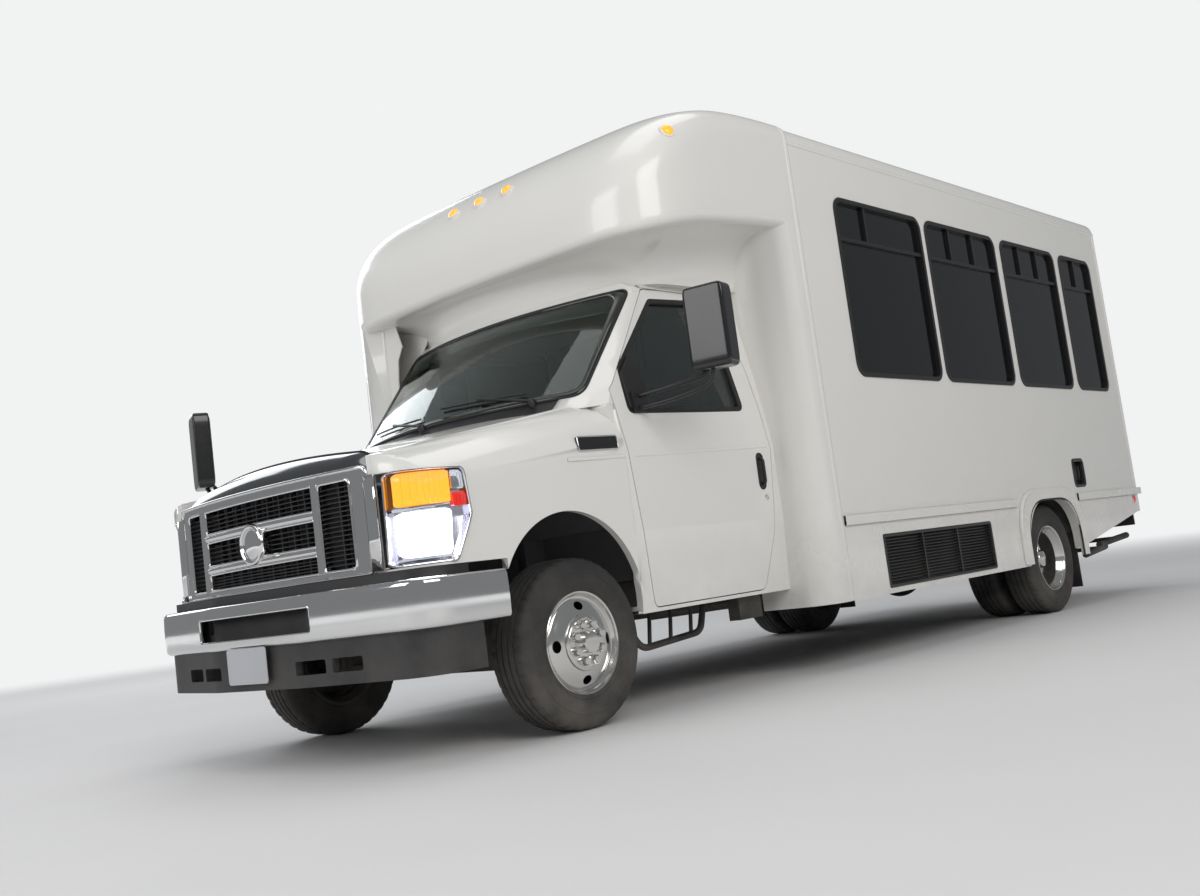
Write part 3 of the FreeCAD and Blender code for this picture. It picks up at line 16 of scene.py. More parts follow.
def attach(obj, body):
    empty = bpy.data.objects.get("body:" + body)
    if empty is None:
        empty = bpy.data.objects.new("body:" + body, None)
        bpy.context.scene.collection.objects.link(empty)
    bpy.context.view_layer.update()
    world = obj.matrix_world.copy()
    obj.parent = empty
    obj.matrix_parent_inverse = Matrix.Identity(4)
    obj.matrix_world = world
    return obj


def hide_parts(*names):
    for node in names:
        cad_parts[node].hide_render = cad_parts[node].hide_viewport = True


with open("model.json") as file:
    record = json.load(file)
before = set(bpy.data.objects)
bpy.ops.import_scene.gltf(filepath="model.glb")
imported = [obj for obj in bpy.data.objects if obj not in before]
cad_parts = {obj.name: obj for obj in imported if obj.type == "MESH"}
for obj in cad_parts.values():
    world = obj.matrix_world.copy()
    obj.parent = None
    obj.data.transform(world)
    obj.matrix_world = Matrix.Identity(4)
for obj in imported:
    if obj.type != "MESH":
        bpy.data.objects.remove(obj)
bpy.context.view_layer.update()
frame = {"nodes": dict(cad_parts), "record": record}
nodes = frame["nodes"]
FRONT_AXLE = 2.660
REAR_AXLE = -1.810
HALF_WIDTH = 1.219
WHEEL_HEIGHT = 0.368
SIDES = ((1, "left"), (-1, "right"))
FORWARD, BACKWARD, LEFTWARD = Vector((1, 0, 0)), Vector((-1, 0, 0)), Vector((0, 1, 0))
SEAM = FRONT_AXLE - 1.800
BODY_REAR = SEAM - 4.380

# %% [markdown]
# ## Effects that several finishes share
#
# Road film, mottle, moulded grain and weave show up on many surfaces, so each is a shader node group with
# named sockets, built once. A group hands out masks and heights only, and each material mixes them with its
# own values. They read Object coordinates, because every piece sits at the origin and the pattern then
# stays on the surface.

# %% Shader node groups
def object_place(tree):
    return node(tree, "ShaderNodeTexCoord").outputs["Object"]


def shader_group(name, inputs, outputs):
    tree = bpy.data.node_groups.new(name, "ShaderNodeTree")
    for label, default in inputs:
        tree.interface.new_socket(label, in_out="INPUT",
                                  socket_type="NodeSocketFloat").default_value = default
    for label in outputs:
        tree.interface.new_socket(label, in_out="OUTPUT", socket_type="NodeSocketFloat")
    return tree, tree.nodes.new("NodeGroupInput"), tree.nodes.new("NodeGroupOutput")


def node(tree, kind, links=None, **values):
    made = tree.nodes.new(kind)
    for key, value in values.items():
        setattr(made, key, value)
    for socket, source in (links or {}).items():
        if isinstance(source, bpy.types.NodeSocket):
            tree.links.new(source, made.inputs[socket])
        else:
            made.inputs[socket].default_value = source
    return made


def build_weathering():
    tree, given, result = shader_group(
        "weathering", [("Film Height", 0.8), ("Film Strength", 0.3), ("Mottle Scale", 1.5)],
        ["Film", "Mottle", "Speck"])
    place = object_place(tree)
    height = node(tree, "ShaderNodeSeparateXYZ", {"Vector": place}).outputs["Z"]
    fall = node(tree, "ShaderNodeMapRange", {"Value": height, "From Min": given.outputs["Film Height"],
                                             "From Max": 0.15, "To Min": 0.0, "To Max": 1.0})
    cloud = node(tree, "ShaderNodeTexNoise",
                 {"Vector": place, "Scale": 3.1, "Detail": 6.0, "Roughness": 0.62})
    cloudy = node(tree, "ShaderNodeMapRange",
                  {"Value": cloud.outputs["Fac"], "From Min": 0.35, "From Max": 0.75})
    film = node(tree, "ShaderNodeMath", {0: fall.outputs["Result"], 1: cloudy.outputs["Result"]},
                operation="MULTIPLY")
    film = node(tree, "ShaderNodeMath", {0: film.outputs[0], 1: given.outputs["Film Strength"]},
                operation="MULTIPLY")
    mottle = node(tree, "ShaderNodeTexNoise",
                  {"Vector": place, "Scale": given.outputs["Mottle Scale"], "Detail": 3.0})
    speck = node(tree, "ShaderNodeTexNoise", {"Vector": place, "Scale": 240.0, "Detail": 2.0})
    for label, source in (("Film", film.outputs[0]), ("Mottle", mottle.outputs["Fac"]),
                          ("Speck", speck.outputs["Fac"])):
        tree.links.new(source, result.inputs[label])
    return tree


def build_grain():
    tree, given, result = shader_group("moulded_grain", [("Grain Scale", 900.0)], ["Height"])
    place = object_place(tree)
    cells = node(tree, "ShaderNodeTexVoronoi", {"Vector": place, "Scale": given.outputs["Grain Scale"]})
    tree.links.new(cells.outputs["Distance"], result.inputs["Height"])
    return tree


def build_weave():
    tree, given, result = shader_group("cloth_weave", [("Thread Scale", 260.0)], ["Height", "Thread"])
    place = object_place(tree)
    threads = []
    for direction in ("Y", "Z"):
        scaled = node(tree, "ShaderNodeVectorMath", {0: place, "Scale": given.outputs["Thread Scale"]},
                      operation="SCALE")
        wave = node(tree, "ShaderNodeTexWave",
                    {"Vector": scaled.outputs["Vector"], "Scale": 0.5, "Distortion": 0.6},
                    bands_direction=direction)
        threads.append(wave.outputs["Fac"])
    crossed = node(tree, "ShaderNodeMath", {0: threads[0], 1: threads[1]}, operation="MULTIPLY")
    tree.links.new(crossed.outputs[0], result.inputs["Height"])
    tree.links.new(threads[0], result.inputs["Thread"])
    return tree


weathering = build_weathering()
grain = build_grain()
weave = build_weave()
print("shader groups", [g.name for g in (weathering, grain, weave)])

# %% [markdown]
# ## Finishes
#
# One function builds every material: a base colour that drifts a little, a film of road dust that thickens
# towards the floor, roughness that follows both, and a small relief. Values that are the same all over go
# straight onto the Principled shader's own sockets.

# %% The finish function
DUST = (0.30, 0.27, 0.23, 1.0)


def new_material(name):
    mat = bpy.data.materials.new(name)
    mat.use_nodes = True
    return mat, mat.node_tree, mat.node_tree.nodes["Principled BSDF"]


def finish(name, slot, colour, rough, metal=0.0, drift=0.93, spread=0.06, film=0.0, film_height=0.9,
           mottle=1.5, relief=None, relief_scale=900.0, relief_depth=0.0002, **constants):
    mat, tree, shader = new_material(name)
    weather = node(tree, "ShaderNodeGroup", node_tree=weathering)
    for socket, value in (("Film Height", film_height), ("Film Strength", film), ("Mottle Scale", mottle)):
        weather.inputs[socket].default_value = value
    first = tuple(colour) + (1.0,)
    second = tuple(c * drift for c in colour) + (1.0,)
    base = node(tree, "ShaderNodeMix", {"Factor": weather.outputs["Mottle"], 6: first, 7: second},
                data_type="RGBA")
    soiled = node(tree, "ShaderNodeMix", {"Factor": weather.outputs["Film"], 6: base.outputs[2], 7: DUST},
                  data_type="RGBA")
    tree.links.new(soiled.outputs[2], shader.inputs["Base Color"])
    drifted = node(tree, "ShaderNodeMapRange", {"Value": weather.outputs["Mottle"], "To Min": rough - spread,
                                                "To Max": rough + spread})
    dusty = node(tree, "ShaderNodeMath", {0: weather.outputs["Film"], 1: 0.5, 2: drifted.outputs["Result"]},
                 operation="MULTIPLY_ADD", use_clamp=True)
    tree.links.new(dusty.outputs[0], shader.inputs["Roughness"])
    shader.inputs["Metallic"].default_value = metal
    height = weather.outputs["Speck"]
    if relief is not None:
        pattern = node(tree, "ShaderNodeGroup", node_tree=relief)
        pattern.inputs[0].default_value = relief_scale
        height = pattern.outputs["Height"]
    if relief_depth > 0:
        bump = node(tree, "ShaderNodeBump", {"Height": height, "Strength": 1.0, "Distance": relief_depth})
        tree.links.new(bump.outputs["Normal"], shader.inputs["Normal"])
    for socket, value in constants.items():
        shader.inputs[socket.replace("_", " ")].default_value = value
    return mat


def glow(mat, colour, strength):
    shader = mat.node_tree.nodes["Principled BSDF"]
    shader.inputs["Emission Color"].default_value = tuple(colour) + (1.0,)
    shader.inputs["Emission Strength"].default_value = strength
    return mat

# %% The finishes of this bus
PLAIN = {"relief_depth": 0.00003}
CLEAR = {"relief_depth": 0.0}
gelcoat = finish("gelcoat", "white_body", (0.80, 0.785, 0.745), 0.24, film=0.35, film_height=1.0, drift=0.965,
                 Coat_Weight=0.4, Coat_Roughness=0.05, **PLAIN)
cab_paint = finish("cab_paint", "white_body", (0.80, 0.785, 0.75), 0.20, film=0.35, film_height=0.9,
                   drift=0.975, Coat_Weight=0.6, Coat_Roughness=0.03, **PLAIN)
plating = finish("plating", "chrome", (0.80, 0.80, 0.80), 0.06, 1.0, spread=0.03, film=0.25, film_height=0.8,
                 **PLAIN)
smoked_plating = finish("smoked_plating", "chrome", (0.20, 0.21, 0.22), 0.10, 1.0, spread=0.03, film=0.2,
                        **PLAIN)
stainless = finish("stainless", "wheel_steel", (0.74, 0.73, 0.71), 0.12, 1.0, spread=0.05, mottle=9.0,
                   film=0.25, film_height=0.6, **PLAIN)
tyre_rubber = finish("tyre_rubber", "tyre", (0.022, 0.022, 0.023), 0.72, film=0.4, film_height=0.95,
                     mottle=7.0, drift=0.7, relief=grain, relief_scale=1400.0, relief_depth=0.0004)
chassis_black = finish("chassis_black", "chassis", (0.022, 0.021, 0.020), 0.55, film=0.55, film_height=1.1,
                       mottle=6.0, drift=0.6, relief_depth=0.0008)
moulded_black = finish("moulded_black", "black_plastic", (0.020, 0.020, 0.022), 0.42, film=0.3,
                       film_height=0.8, mottle=5.0, relief=grain, relief_scale=1100.0, relief_depth=0.0002)
satin_black = finish("satin_black", "black_frame", (0.016, 0.016, 0.017), 0.34, film=0.2, mottle=5.0, **PLAIN)
gloss_black = finish("gloss_black", "black_plastic", (0.012, 0.012, 0.013), 0.16, film=0.25, mottle=5.0,
                     Coat_Weight=0.3, **PLAIN)
shade_film = finish("shade_film", "tinted_glass", (0.010, 0.016, 0.012), 0.10, Coat_Weight=0.6, **CLEAR)
seal_rubber = finish("seal_rubber", "rubber", (0.014, 0.014, 0.014), 0.58, film=0.3, mottle=8.0,
                     relief_depth=0.0003)
privacy_glass = finish("privacy_glass", "tinted_glass", (0.012, 0.013, 0.014), 0.03, spread=0.015, mottle=2.0,
                       Transmission_Weight=0.55, IOR=1.5, **CLEAR)
cab_glass = finish("cab_glass", "tinted_glass", (0.16, 0.19, 0.18), 0.02, spread=0.01, mottle=2.0,
                   Transmission_Weight=0.9, IOR=1.45, **CLEAR)
shield_glass = finish("shield_glass", "clear_glass", (0.42, 0.52, 0.49), 0.02, spread=0.01, mottle=2.0,
                      Transmission_Weight=1.0, IOR=1.45, **CLEAR)
lens_clear = finish("lens_clear", "lamp_clear", (0.92, 0.94, 0.96), 0.02, spread=0.01, drift=0.98,
                    Transmission_Weight=1.0, IOR=1.2, **CLEAR)
lens_amber = glow(finish("lens_amber", "lamp_amber", (0.90, 0.30, 0.02), 0.12, mottle=30.0, drift=0.8,
                         Coat_Weight=0.8, **PLAIN), (1.0, 0.36, 0.03), 1.1)
lens_red = glow(finish("lens_red", "lamp_red", (0.62, 0.02, 0.015), 0.14, mottle=30.0, drift=0.8,
                       Coat_Weight=0.8, **PLAIN), (1.0, 0.03, 0.02), 0.35)
lamp_bowl = finish("lamp_bowl", "chrome", (0.82, 0.83, 0.86), 0.08, 1.0, spread=0.02, **CLEAR)
lamp_bezel = finish("lamp_bezel", "chrome", (0.34, 0.33, 0.37), 0.16, 1.0, spread=0.04, **PLAIN)
beam_white = glow(finish("beam_white", "lamp_clear", (0.95, 0.97, 1.0), 0.2, **PLAIN), (0.93, 0.97, 1.0), 6.0)
floor_vinyl = finish("floor_vinyl", "grey_floor", (0.13, 0.13, 0.135), 0.55, mottle=12.0, drift=0.8, film=0.3,
                     film_height=1.2, relief=grain, relief_scale=500.0, relief_depth=0.0003)
seat_cloth = finish("seat_cloth", "seat_fabric", (0.026, 0.030, 0.044), 0.90, mottle=14.0, drift=0.4,
                    relief=weave, relief_scale=420.0, relief_depth=0.00001, Sheen_Weight=0.1)
dash_vinyl = finish("dash_vinyl", "dash_plastic", (0.040, 0.040, 0.043), 0.55, mottle=9.0, relief=grain,
                    relief_scale=800.0, relief_depth=0.0003)
blank_plate = finish("blank_plate", "plate", (0.52, 0.53, 0.56), 0.42, mottle=5.0, drift=0.94, film=0.25,
                     film_height=1.4, relief_depth=0.0002)
mirror_silver = finish("mirror_silver", "chrome", (0.85, 0.86, 0.87), 0.02, 1.0, spread=0.005, **CLEAR)

# %% [markdown]
# ## Shape helpers
#
# Most trim on a vehicle is a section swept along an edge, or a turned form: seals, beads, rails, pipes,
# lamps, tyres and rims. These helpers write such shapes into a bmesh, so that one piece can hold several of
# them, and `place` turns the result into an object that rides on a body of the frame.

# %% Shape helpers
def evenly(start, length, count):
    """count + 1 evenly spaced values from start over a length."""
    return [start + length * i / count for i in range(count + 1)]


def turns(count):
    return [2 * math.pi * i / count for i in range(count)]


def bridge(bm, first, second):
    """quads between two rings of the same number of points."""
    for i in range(len(first)):
        j = (i + 1) % len(first)
        bm.faces.new((first[i], first[j], second[j], second[i]))


def heading(path, i, closed=False):
    before = path[i - 1] if closed or i else path[0]
    after = path[(i + 1) % len(path)] if closed or i < len(path) - 1 else path[-1]
    return (after - before).normalized()


def rounded(u0, u1, w0, w1, radius, steps=6):
    points = []
    for cu, cw, start in ((u1 - radius, w0 + radius, -90), (u1 - radius, w1 - radius, 0),
                          (u0 + radius, w1 - radius, 90), (u0 + radius, w0 + radius, 180)):
        for i in range(steps + 1):
            turn = math.radians(start + 90 * i / steps)
            points.append((cu + radius * math.cos(turn), cw + radius * math.sin(turn)))
    return points


def softened(corners, steps=5):
    """corners: (u, w, radius); returns the outline with its corners rounded."""
    points = []
    count = len(corners)
    for i, (u, w, radius) in enumerate(corners):
        here = Vector((u, w))
        last = Vector(corners[i - 1][:2])
        following = Vector(corners[(i + 1) % count][:2])
        a, b = (last - here).normalized(), (following - here).normalized()
        if radius <= 0:
            points.append(here)
            continue
        half = a.angle(b) / 2
        back = radius / math.tan(half)
        start, end = here + a * back, here + b * back
        for step in range(steps + 1):
            t = step / steps
            points.append(start * (1 - t) ** 2 + here * 2 * t * (1 - t) + end * t ** 2)
    return [(p.x, p.y) for p in points]


def sweep(bm, path, section, up, closed=True):
    """section: (across, out) pairs; up is one normal, or a list with one normal for each path point."""
    rings = []
    for i, point in enumerate(path):
        out = (up[i] if isinstance(up, list) else up).normalized()
        side = heading(path, i, closed).cross(out).normalized()
        rings.append([bm.verts.new(point + side * a + out * b) for a, b in section])
    for here, there in zip(rings, rings[1:] + rings[:1] if closed else rings[1:]):
        bridge(bm, here, there)
    if not closed:
        bm.faces.new(rings[0])
        bm.faces.new(reversed(rings[-1]))


def axes_for(axis):
    axis = axis.normalized()
    side = axis.orthogonal().normalized()
    return side, axis.cross(side)


def lathe(bm, profile, centre, axis, segments=48):
    """profile: (radius, along axis); a radius of 0 closes to a point."""
    side, other = axes_for(axis)
    axis = axis.normalized()
    rings = []
    for radius, along in profile:
        middle = centre + axis * along
        if radius <= 1e-6:
            rings.append([bm.verts.new(middle)])
            continue
        rings.append([bm.verts.new(middle + side * radius * math.cos(turn) + other * radius * math.sin(turn))
                      for turn in turns(segments)])
    for first, second in zip(rings, rings[1:]):
        if len(first) == len(second):
            if len(first) > 1:
                bridge(bm, first, second)
            continue
        for i in range(segments):
            j = (i + 1) % segments
            if len(first) == 1:
                bm.faces.new((first[0], second[i], second[j]))
            else:
                bm.faces.new((first[i], first[j], second[0]))
    return rings


def closed_lathe(bm, profile, centre, axis, segments):
    rings = lathe(bm, profile, centre, axis, segments)
    if len(rings[0]) > 1 and len(rings[-1]) > 1:
        bridge(bm, rings[-1], rings[0])


def sheet(bm, rows):
    grid = [[bm.verts.new(p) for p in row] for row in rows]
    for first, second in zip(grid, grid[1:]):
        for j in range(len(first) - 1):
            bm.faces.new((first[j], first[j + 1], second[j + 1], second[j]))


def slab(bm, outline, to_space, low, high):
    """outline: (u, w) pairs; to_space(u, w, depth) gives a point."""
    bottom = [bm.verts.new(to_space(u, w, low)) for u, w in outline]
    top = [bm.verts.new(to_space(u, w, high)) for u, w in outline]
    bm.faces.new(bottom)
    bm.faces.new(reversed(top))
    count = len(outline)
    for i in range(count):
        j = (i + 1) % count
        bm.faces.new((bottom[i], top[i], top[j], bottom[j]))


def brick(bm, low, high):
    slab(bm, [(low[0], low[1]), (high[0], low[1]), (high[0], high[1]), (low[0], high[1])],
         lambda u, w, d: Vector((u, w, d)), low[2], high[2])


def pipe(bm, points, radius, sides=12, bend=0.03, steps=5):
    """a round tube with rounded bends."""
    path = [points[0]]
    for i in range(1, len(points) - 1):
        here = points[i]
        a, b = (points[i - 1] - here), (points[i + 1] - here)
        back = min(bend, a.length * 0.45, b.length * 0.45)
        start, end = here + a.normalized() * back, here + b.normalized() * back
        for step in range(steps + 1):
            t = step / steps
            path.append(start * (1 - t) ** 2 + here * 2 * t * (1 - t) + end * t ** 2)
    path.append(points[-1])
    normal = (path[1] - path[0]).orthogonal().normalized()
    normals = []
    for i in range(len(path)):
        along = heading(path, i)
        normal = (normal - along * normal.dot(along)).normalized()
        normals.append(normal.copy())
    section = [(radius * math.cos(turn), radius * math.sin(turn)) for turn in turns(sides)]
    sweep(bm, path, section, normals, closed=False)


ROUND_BEAD = [(0.5, 0.0), (0.43, 0.5), (0.2, 0.9), (-0.2, 0.9), (-0.43, 0.5), (-0.5, 0.0)]


def bead(width, height, sink=0.001):
    return [(a * width, b * height) for a, b in ROUND_BEAD] + [(-0.5 * width, -sink), (0.5 * width, -sink)]


WELD = 1e-6


def add_object(name, data):
    made = bpy.data.objects.new(name, data)
    bpy.context.scene.collection.objects.link(made)
    return made


def as_mesh(bm, name):
    mesh = bpy.data.meshes.new(name)
    bm.to_mesh(mesh)
    bm.free()
    return mesh


def closed_mesh(bm, name):
    """joins points that meet, turns every face outwards and returns a plain mesh."""
    bmesh.ops.remove_doubles(bm, verts=bm.verts[:], dist=WELD)
    bmesh.ops.recalc_face_normals(bm, faces=bm.faces[:])
    return as_mesh(bm, name)


def used_up(holder):
    """the mesh of an object with its modifiers applied; the object itself is removed."""
    mesh = bpy.data.meshes.new_from_object(holder.evaluated_get(bpy.context.evaluated_depsgraph_get()))
    bpy.data.objects.remove(holder)
    return mesh


def pierce(mesh, cutter):
    """cuts a bmesh out of a closed mesh with a Boolean modifier, and returns a plain mesh."""
    bmesh.ops.recalc_face_normals(cutter, faces=cutter.faces[:])
    holder, tool = add_object("pierced", mesh), add_object("cutter", as_mesh(cutter, "cutter"))
    cut = holder.modifiers.new("cut", "BOOLEAN")
    cut.operation, cut.object, cut.solver = "DIFFERENCE", tool, "EXACT"
    result = used_up(holder)
    bpy.data.objects.remove(tool)
    return result


def place(name, source, material, body="root", instead=(), smooth=35, bevel=0.0, subdivide=0, mirror=False,
          wall=0.0):
    if isinstance(source, bpy.types.Mesh):
        mesh = source
    else:
        if mirror:
            both = source.verts[:] + source.edges[:] + source.faces[:]
            copy = bmesh.ops.duplicate(source, geom=both)
            moved = [v for v in copy["geom"] if isinstance(v, bmesh.types.BMVert)]
            bmesh.ops.scale(source, vec=(1, -1, 1), verts=moved)
        mesh = closed_mesh(source, name)
    mesh.materials.clear()
    mesh.materials.append(material)
    mesh.polygons.foreach_set("use_smooth", [True] * len(mesh.polygons))
    mesh.set_sharp_from_angle(angle=math.radians(smooth))
    made = add_object(name, mesh)
    if wall:
        sheet = made.modifiers.new("wall", "SOLIDIFY")
        sheet.thickness, sheet.offset = wall, -1.0
    if bevel:
        edge = made.modifiers.new("edge", "BEVEL")
        edge.width, edge.segments, edge.limit_method, edge.angle_limit = bevel, 2, "ANGLE", math.radians(40)
    if subdivide:
        soft = made.modifiers.new("soft", "SUBSURF")
        soft.levels = soft.render_levels = subdivide
    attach(made, body)
    if instead:
        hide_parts(*instead)
    return made


def at_side(y):
    return lambda u, w, d: Vector((u, y + d, w))


def at_front(x):
    return lambda u, w, d: Vector((x + d, u, w))

# %% [markdown]
# ## Stage, light and camera
#
# A pale floor and soft area lamps show the shapes plainly. The world is white only for camera, mirror and
# glass rays, so the background is pale while the object is lit by the lamps alone. The camera has the
# photograph's angle: low, near the left front corner, and tilted a little.

# %% Stage
BACKDROP = (0.93, 0.935, 0.94, 1)
FLOOR_DARK, FLOOR_PALE = (0.70, 0.69, 0.68, 1), (0.76, 0.75, 0.74, 1)
FADE_NEAR, FADE_FAR = 7.0, 22.0


def build_stage():
    bpy.ops.mesh.primitive_plane_add(size=160.0, location=(0, 0, 0))
    floor = bpy.context.object
    floor.name = "stage_floor"
    mat, tree, shader = new_material("stage_floor")
    place_on = object_place(tree)
    cloud = node(tree, "ShaderNodeTexNoise", {"Vector": place_on, "Scale": 0.8, "Detail": 5.0})
    shade = node(tree, "ShaderNodeMix", {"Factor": cloud.outputs["Fac"], 6: FLOOR_DARK, 7: FLOOR_PALE},
                 data_type="RGBA")
    tree.links.new(shade.outputs[2], shader.inputs["Base Color"])
    shader.inputs["Roughness"].default_value = 0.75
    # far from the bus the floor takes the backdrop's colour, so no horizon shows
    reach = node(tree, "ShaderNodeVectorMath", {0: place_on}, operation="LENGTH").outputs["Value"]
    far = node(tree, "ShaderNodeMapRange", {"Value": reach, "From Min": FADE_NEAR, "From Max": FADE_FAR},
               interpolation_type="SMOOTHSTEP")
    haze = node(tree, "ShaderNodeEmission", {"Color": BACKDROP, "Strength": 0.95})
    end = tree.nodes["Material Output"]
    faded = node(tree, "ShaderNodeMixShader",
                 {"Fac": far.outputs["Result"], 1: shader.outputs[0], 2: haze.outputs[0]})
    tree.links.new(faded.outputs[0], end.inputs["Surface"])
    floor.data.materials.append(mat)

    world = bpy.data.worlds.new("studio")
    bpy.context.scene.world = world
    world.use_nodes = True
    tree = world.node_tree
    tree.nodes.clear()
    rays = node(tree, "ShaderNodeLightPath")
    seen = node(tree, "ShaderNodeMath",
                {0: rays.outputs["Is Camera Ray"], 1: rays.outputs["Is Transmission Ray"]},
                operation="MAXIMUM")
    dim = node(tree, "ShaderNodeBackground", {"Color": (0.86, 0.90, 0.96, 1), "Strength": 0.42})
    bright = node(tree, "ShaderNodeBackground", {"Color": BACKDROP, "Strength": 0.95})
    mirrored = node(tree, "ShaderNodeBackground", {"Color": (0.62, 0.64, 0.66, 1), "Strength": 0.36})
    lit = node(tree, "ShaderNodeMixShader", {"Fac": rays.outputs["Is Glossy Ray"], 1: dim.outputs[0],
                                             2: mirrored.outputs[0]})
    blend = node(tree, "ShaderNodeMixShader",
                 {"Fac": seen.outputs[0], 1: lit.outputs[0], 2: bright.outputs[0]})
    end = node(tree, "ShaderNodeOutputWorld")
    tree.links.new(blend.outputs[0], end.inputs["Surface"])


def softbox(name, spot, aim, size, watts, colour=(1, 1, 1)):
    lamp = bpy.data.lights.new(name, "AREA")
    lamp.shape, lamp.size, lamp.size_y, lamp.energy, lamp.color = "RECTANGLE", size[0], size[1], watts, colour
    made = add_object(name, lamp)
    made.location = spot
    made.rotation_euler = (Vector(aim) - Vector(spot)).to_track_quat("-Z", "Y").to_euler()


build_stage()
softbox("lamp_left", (6.0, 11.0, 7.5), (0.5, 0, 1.2), (9, 6), 620, (1.0, 0.98, 0.95))
softbox("lamp_front", (13.0, -2.0, 6.0), (1.5, 0, 1.2), (6, 6), 330)
softbox("lamp_right", (-2.0, -12.0, 7.0), (0, 0, 1.2), (9, 6), 420, (0.95, 0.97, 1.0))
softbox("lamp_top", (0.0, 0.0, 11.0), (0, 0, 0), (10, 6), 240)

# %% Camera
YAW, PITCH, ROLL = math.radians(-137.89), math.radians(5.86), math.radians(-7.38)
EYE = (FRONT_AXLE + 3.838, 4.688, 0.640)
FOCAL_PIXELS, FRAME_PIXELS, SENSOR = 1235, 1200, 36.0
forward = Vector((math.cos(PITCH) * math.cos(YAW), math.cos(PITCH) * math.sin(YAW), math.sin(PITCH)))
level = forward.cross(Vector((0, 0, 1))).normalized()
above = level.cross(forward)
right = level * math.cos(ROLL) + above * math.sin(ROLL)
upward = above * math.cos(ROLL) - level * math.sin(ROLL)
camera_data = bpy.data.cameras.new("camera")
camera_data.sensor_width = SENSOR
camera_data.lens = SENSOR * FOCAL_PIXELS / FRAME_PIXELS
camera = add_object("camera", camera_data)
camera.matrix_world = Matrix.Translation(EYE) @ Matrix((right, upward, -forward)).transposed().to_4x4()
bpy.context.scene.camera = camera
bpy.context.scene.view_settings.view_transform = "Standard"
print("camera lens", round(camera_data.lens, 2))

# %% [markdown]
# ## Painted shells and plain CAD pieces
#
# A CAD node arrives as loose triangles, so a curved panel would show facets. A merged and smoothed copy
# stands for each shell, with its creases kept sharp. The other pieces keep their CAD mesh and get a finish,
# until a later cell makes a finer piece that takes their place.

# %% Shells
MERGE = 2e-5
body_of_node = {n: b for b, names in frame["record"]["behaviour"]["bodies"].items() for n in names}
SHELLS = {
    "front_cap": gelcoat, "cab_shell": cab_paint, "hood": cab_paint, "driver_door": cab_paint,
    "roof": gelcoat, "side_wall_left": gelcoat, "side_wall_right": gelcoat, "rear_wall": gelcoat,
    "rear_door": gelcoat, "entry_leaf_front": gelcoat, "entry_leaf_rear": gelcoat, "wheel_flares": gelcoat,
    "side_rails": gelcoat, "front_valance": moulded_black, "cowl": moulded_black, "windshield": shield_glass,
}
PLAIN_NODES = {
    chassis_black: "frame_rails front_axle rear_axle engine fuel_tank exhaust knuckle_left knuckle_right",
    floor_vinyl: "cab_floor floor step_well", dash_vinyl: "dashboard", blank_plate: "plates",
    seat_cloth: "driver_seat passenger_seats", satin_black: "window_frames side_fittings",
    moulded_black: "rear_bumper", seal_rubber: "mudflaps", cab_glass: "driver_glass",
    privacy_glass: "window_glass entry_glass_front entry_glass_rear rear_glass",
    lens_red: "tail_lamps", lens_amber: "marker_lamps",
    tyre_rubber: "tyre_front_left tyre_front_right tyres_rear_left tyres_rear_right",
    stainless: "wheel_front_left wheel_front_right wheels_rear_left wheels_rear_right",
}


def welded(name):
    source = bmesh.new()
    source.from_mesh(nodes[name].data)
    bmesh.ops.remove_doubles(source, verts=source.verts[:], dist=MERGE)
    return source


for name, material in SHELLS.items():
    crease = 38 if name == "cab_shell" else 24
    skin = name + "_skin"
    place(skin, as_mesh(welded(name), skin), material, body_of_node[name], (name,), smooth=crease)
plain_count = 0
for material, names in PLAIN_NODES.items():
    for name in names.split():
        nodes[name].data.materials.clear()
        nodes[name].data.materials.append(material)
        plain_count += 1
print("shells", len(SHELLS), "plain", plain_count, "of", len(nodes))

# %% [markdown]
# ## Tyres
#
# A highway tyre is a turned form: beads, a bulging sidewall with a few raised rings, and a tread of ribs
# between grooves. Turning one section about the axle gives all of that, and lowering every fourth step of
# the shoulder rings cuts the cross grooves. The twin rear tyres of one side are one piece, since they turn
# together.

# %% Tyre section
TREAD_STEPS = 168
HALF_SECTION = [(0.207, 0.084), (0.213, 0.094), (0.226, 0.1015), (0.232, 0.1035), (0.234, 0.1055),
                (0.238, 0.1055), (0.240, 0.104), (0.262, 0.1095), (0.285, 0.1105), (0.296, 0.110),
                (0.298, 0.1115), (0.303, 0.111), (0.305, 0.1090), (0.322, 0.1075), (0.340, 0.1030),
                (0.353, 0.0960), (0.3615, 0.0880), (0.3655, 0.0790), (0.3670, 0.0640), (0.3672, 0.0560),
                (0.3600, 0.0545), (0.3600, 0.0475), (0.3674, 0.0460), (0.3678, 0.0230), (0.3605, 0.0215),
                (0.3605, 0.0145), (0.3680, 0.0130)]


def add_tyre(bm, centre, outward):
    section = HALF_SECTION + [(r, -w) for r, w in reversed(HALF_SECTION)]
    axis = LEFTWARD * outward
    rings = lathe(bm, [(r, -w) for r, w in section], centre, axis, TREAD_STEPS)
    for (radius, along), ring in zip(section, rings):
        if 0.353 < radius and abs(along) > 0.0555:
            for i in range(0, TREAD_STEPS, 4):
                inward = (centre + axis * ring[i].co.dot(axis) - axis * centre.dot(axis)) - ring[i].co
                ring[i].co += inward.normalized() * 0.006
    bridge(bm, rings[-1], rings[0])


def wheel_centre(x, y):
    return Vector((x, y, WHEEL_HEIGHT))


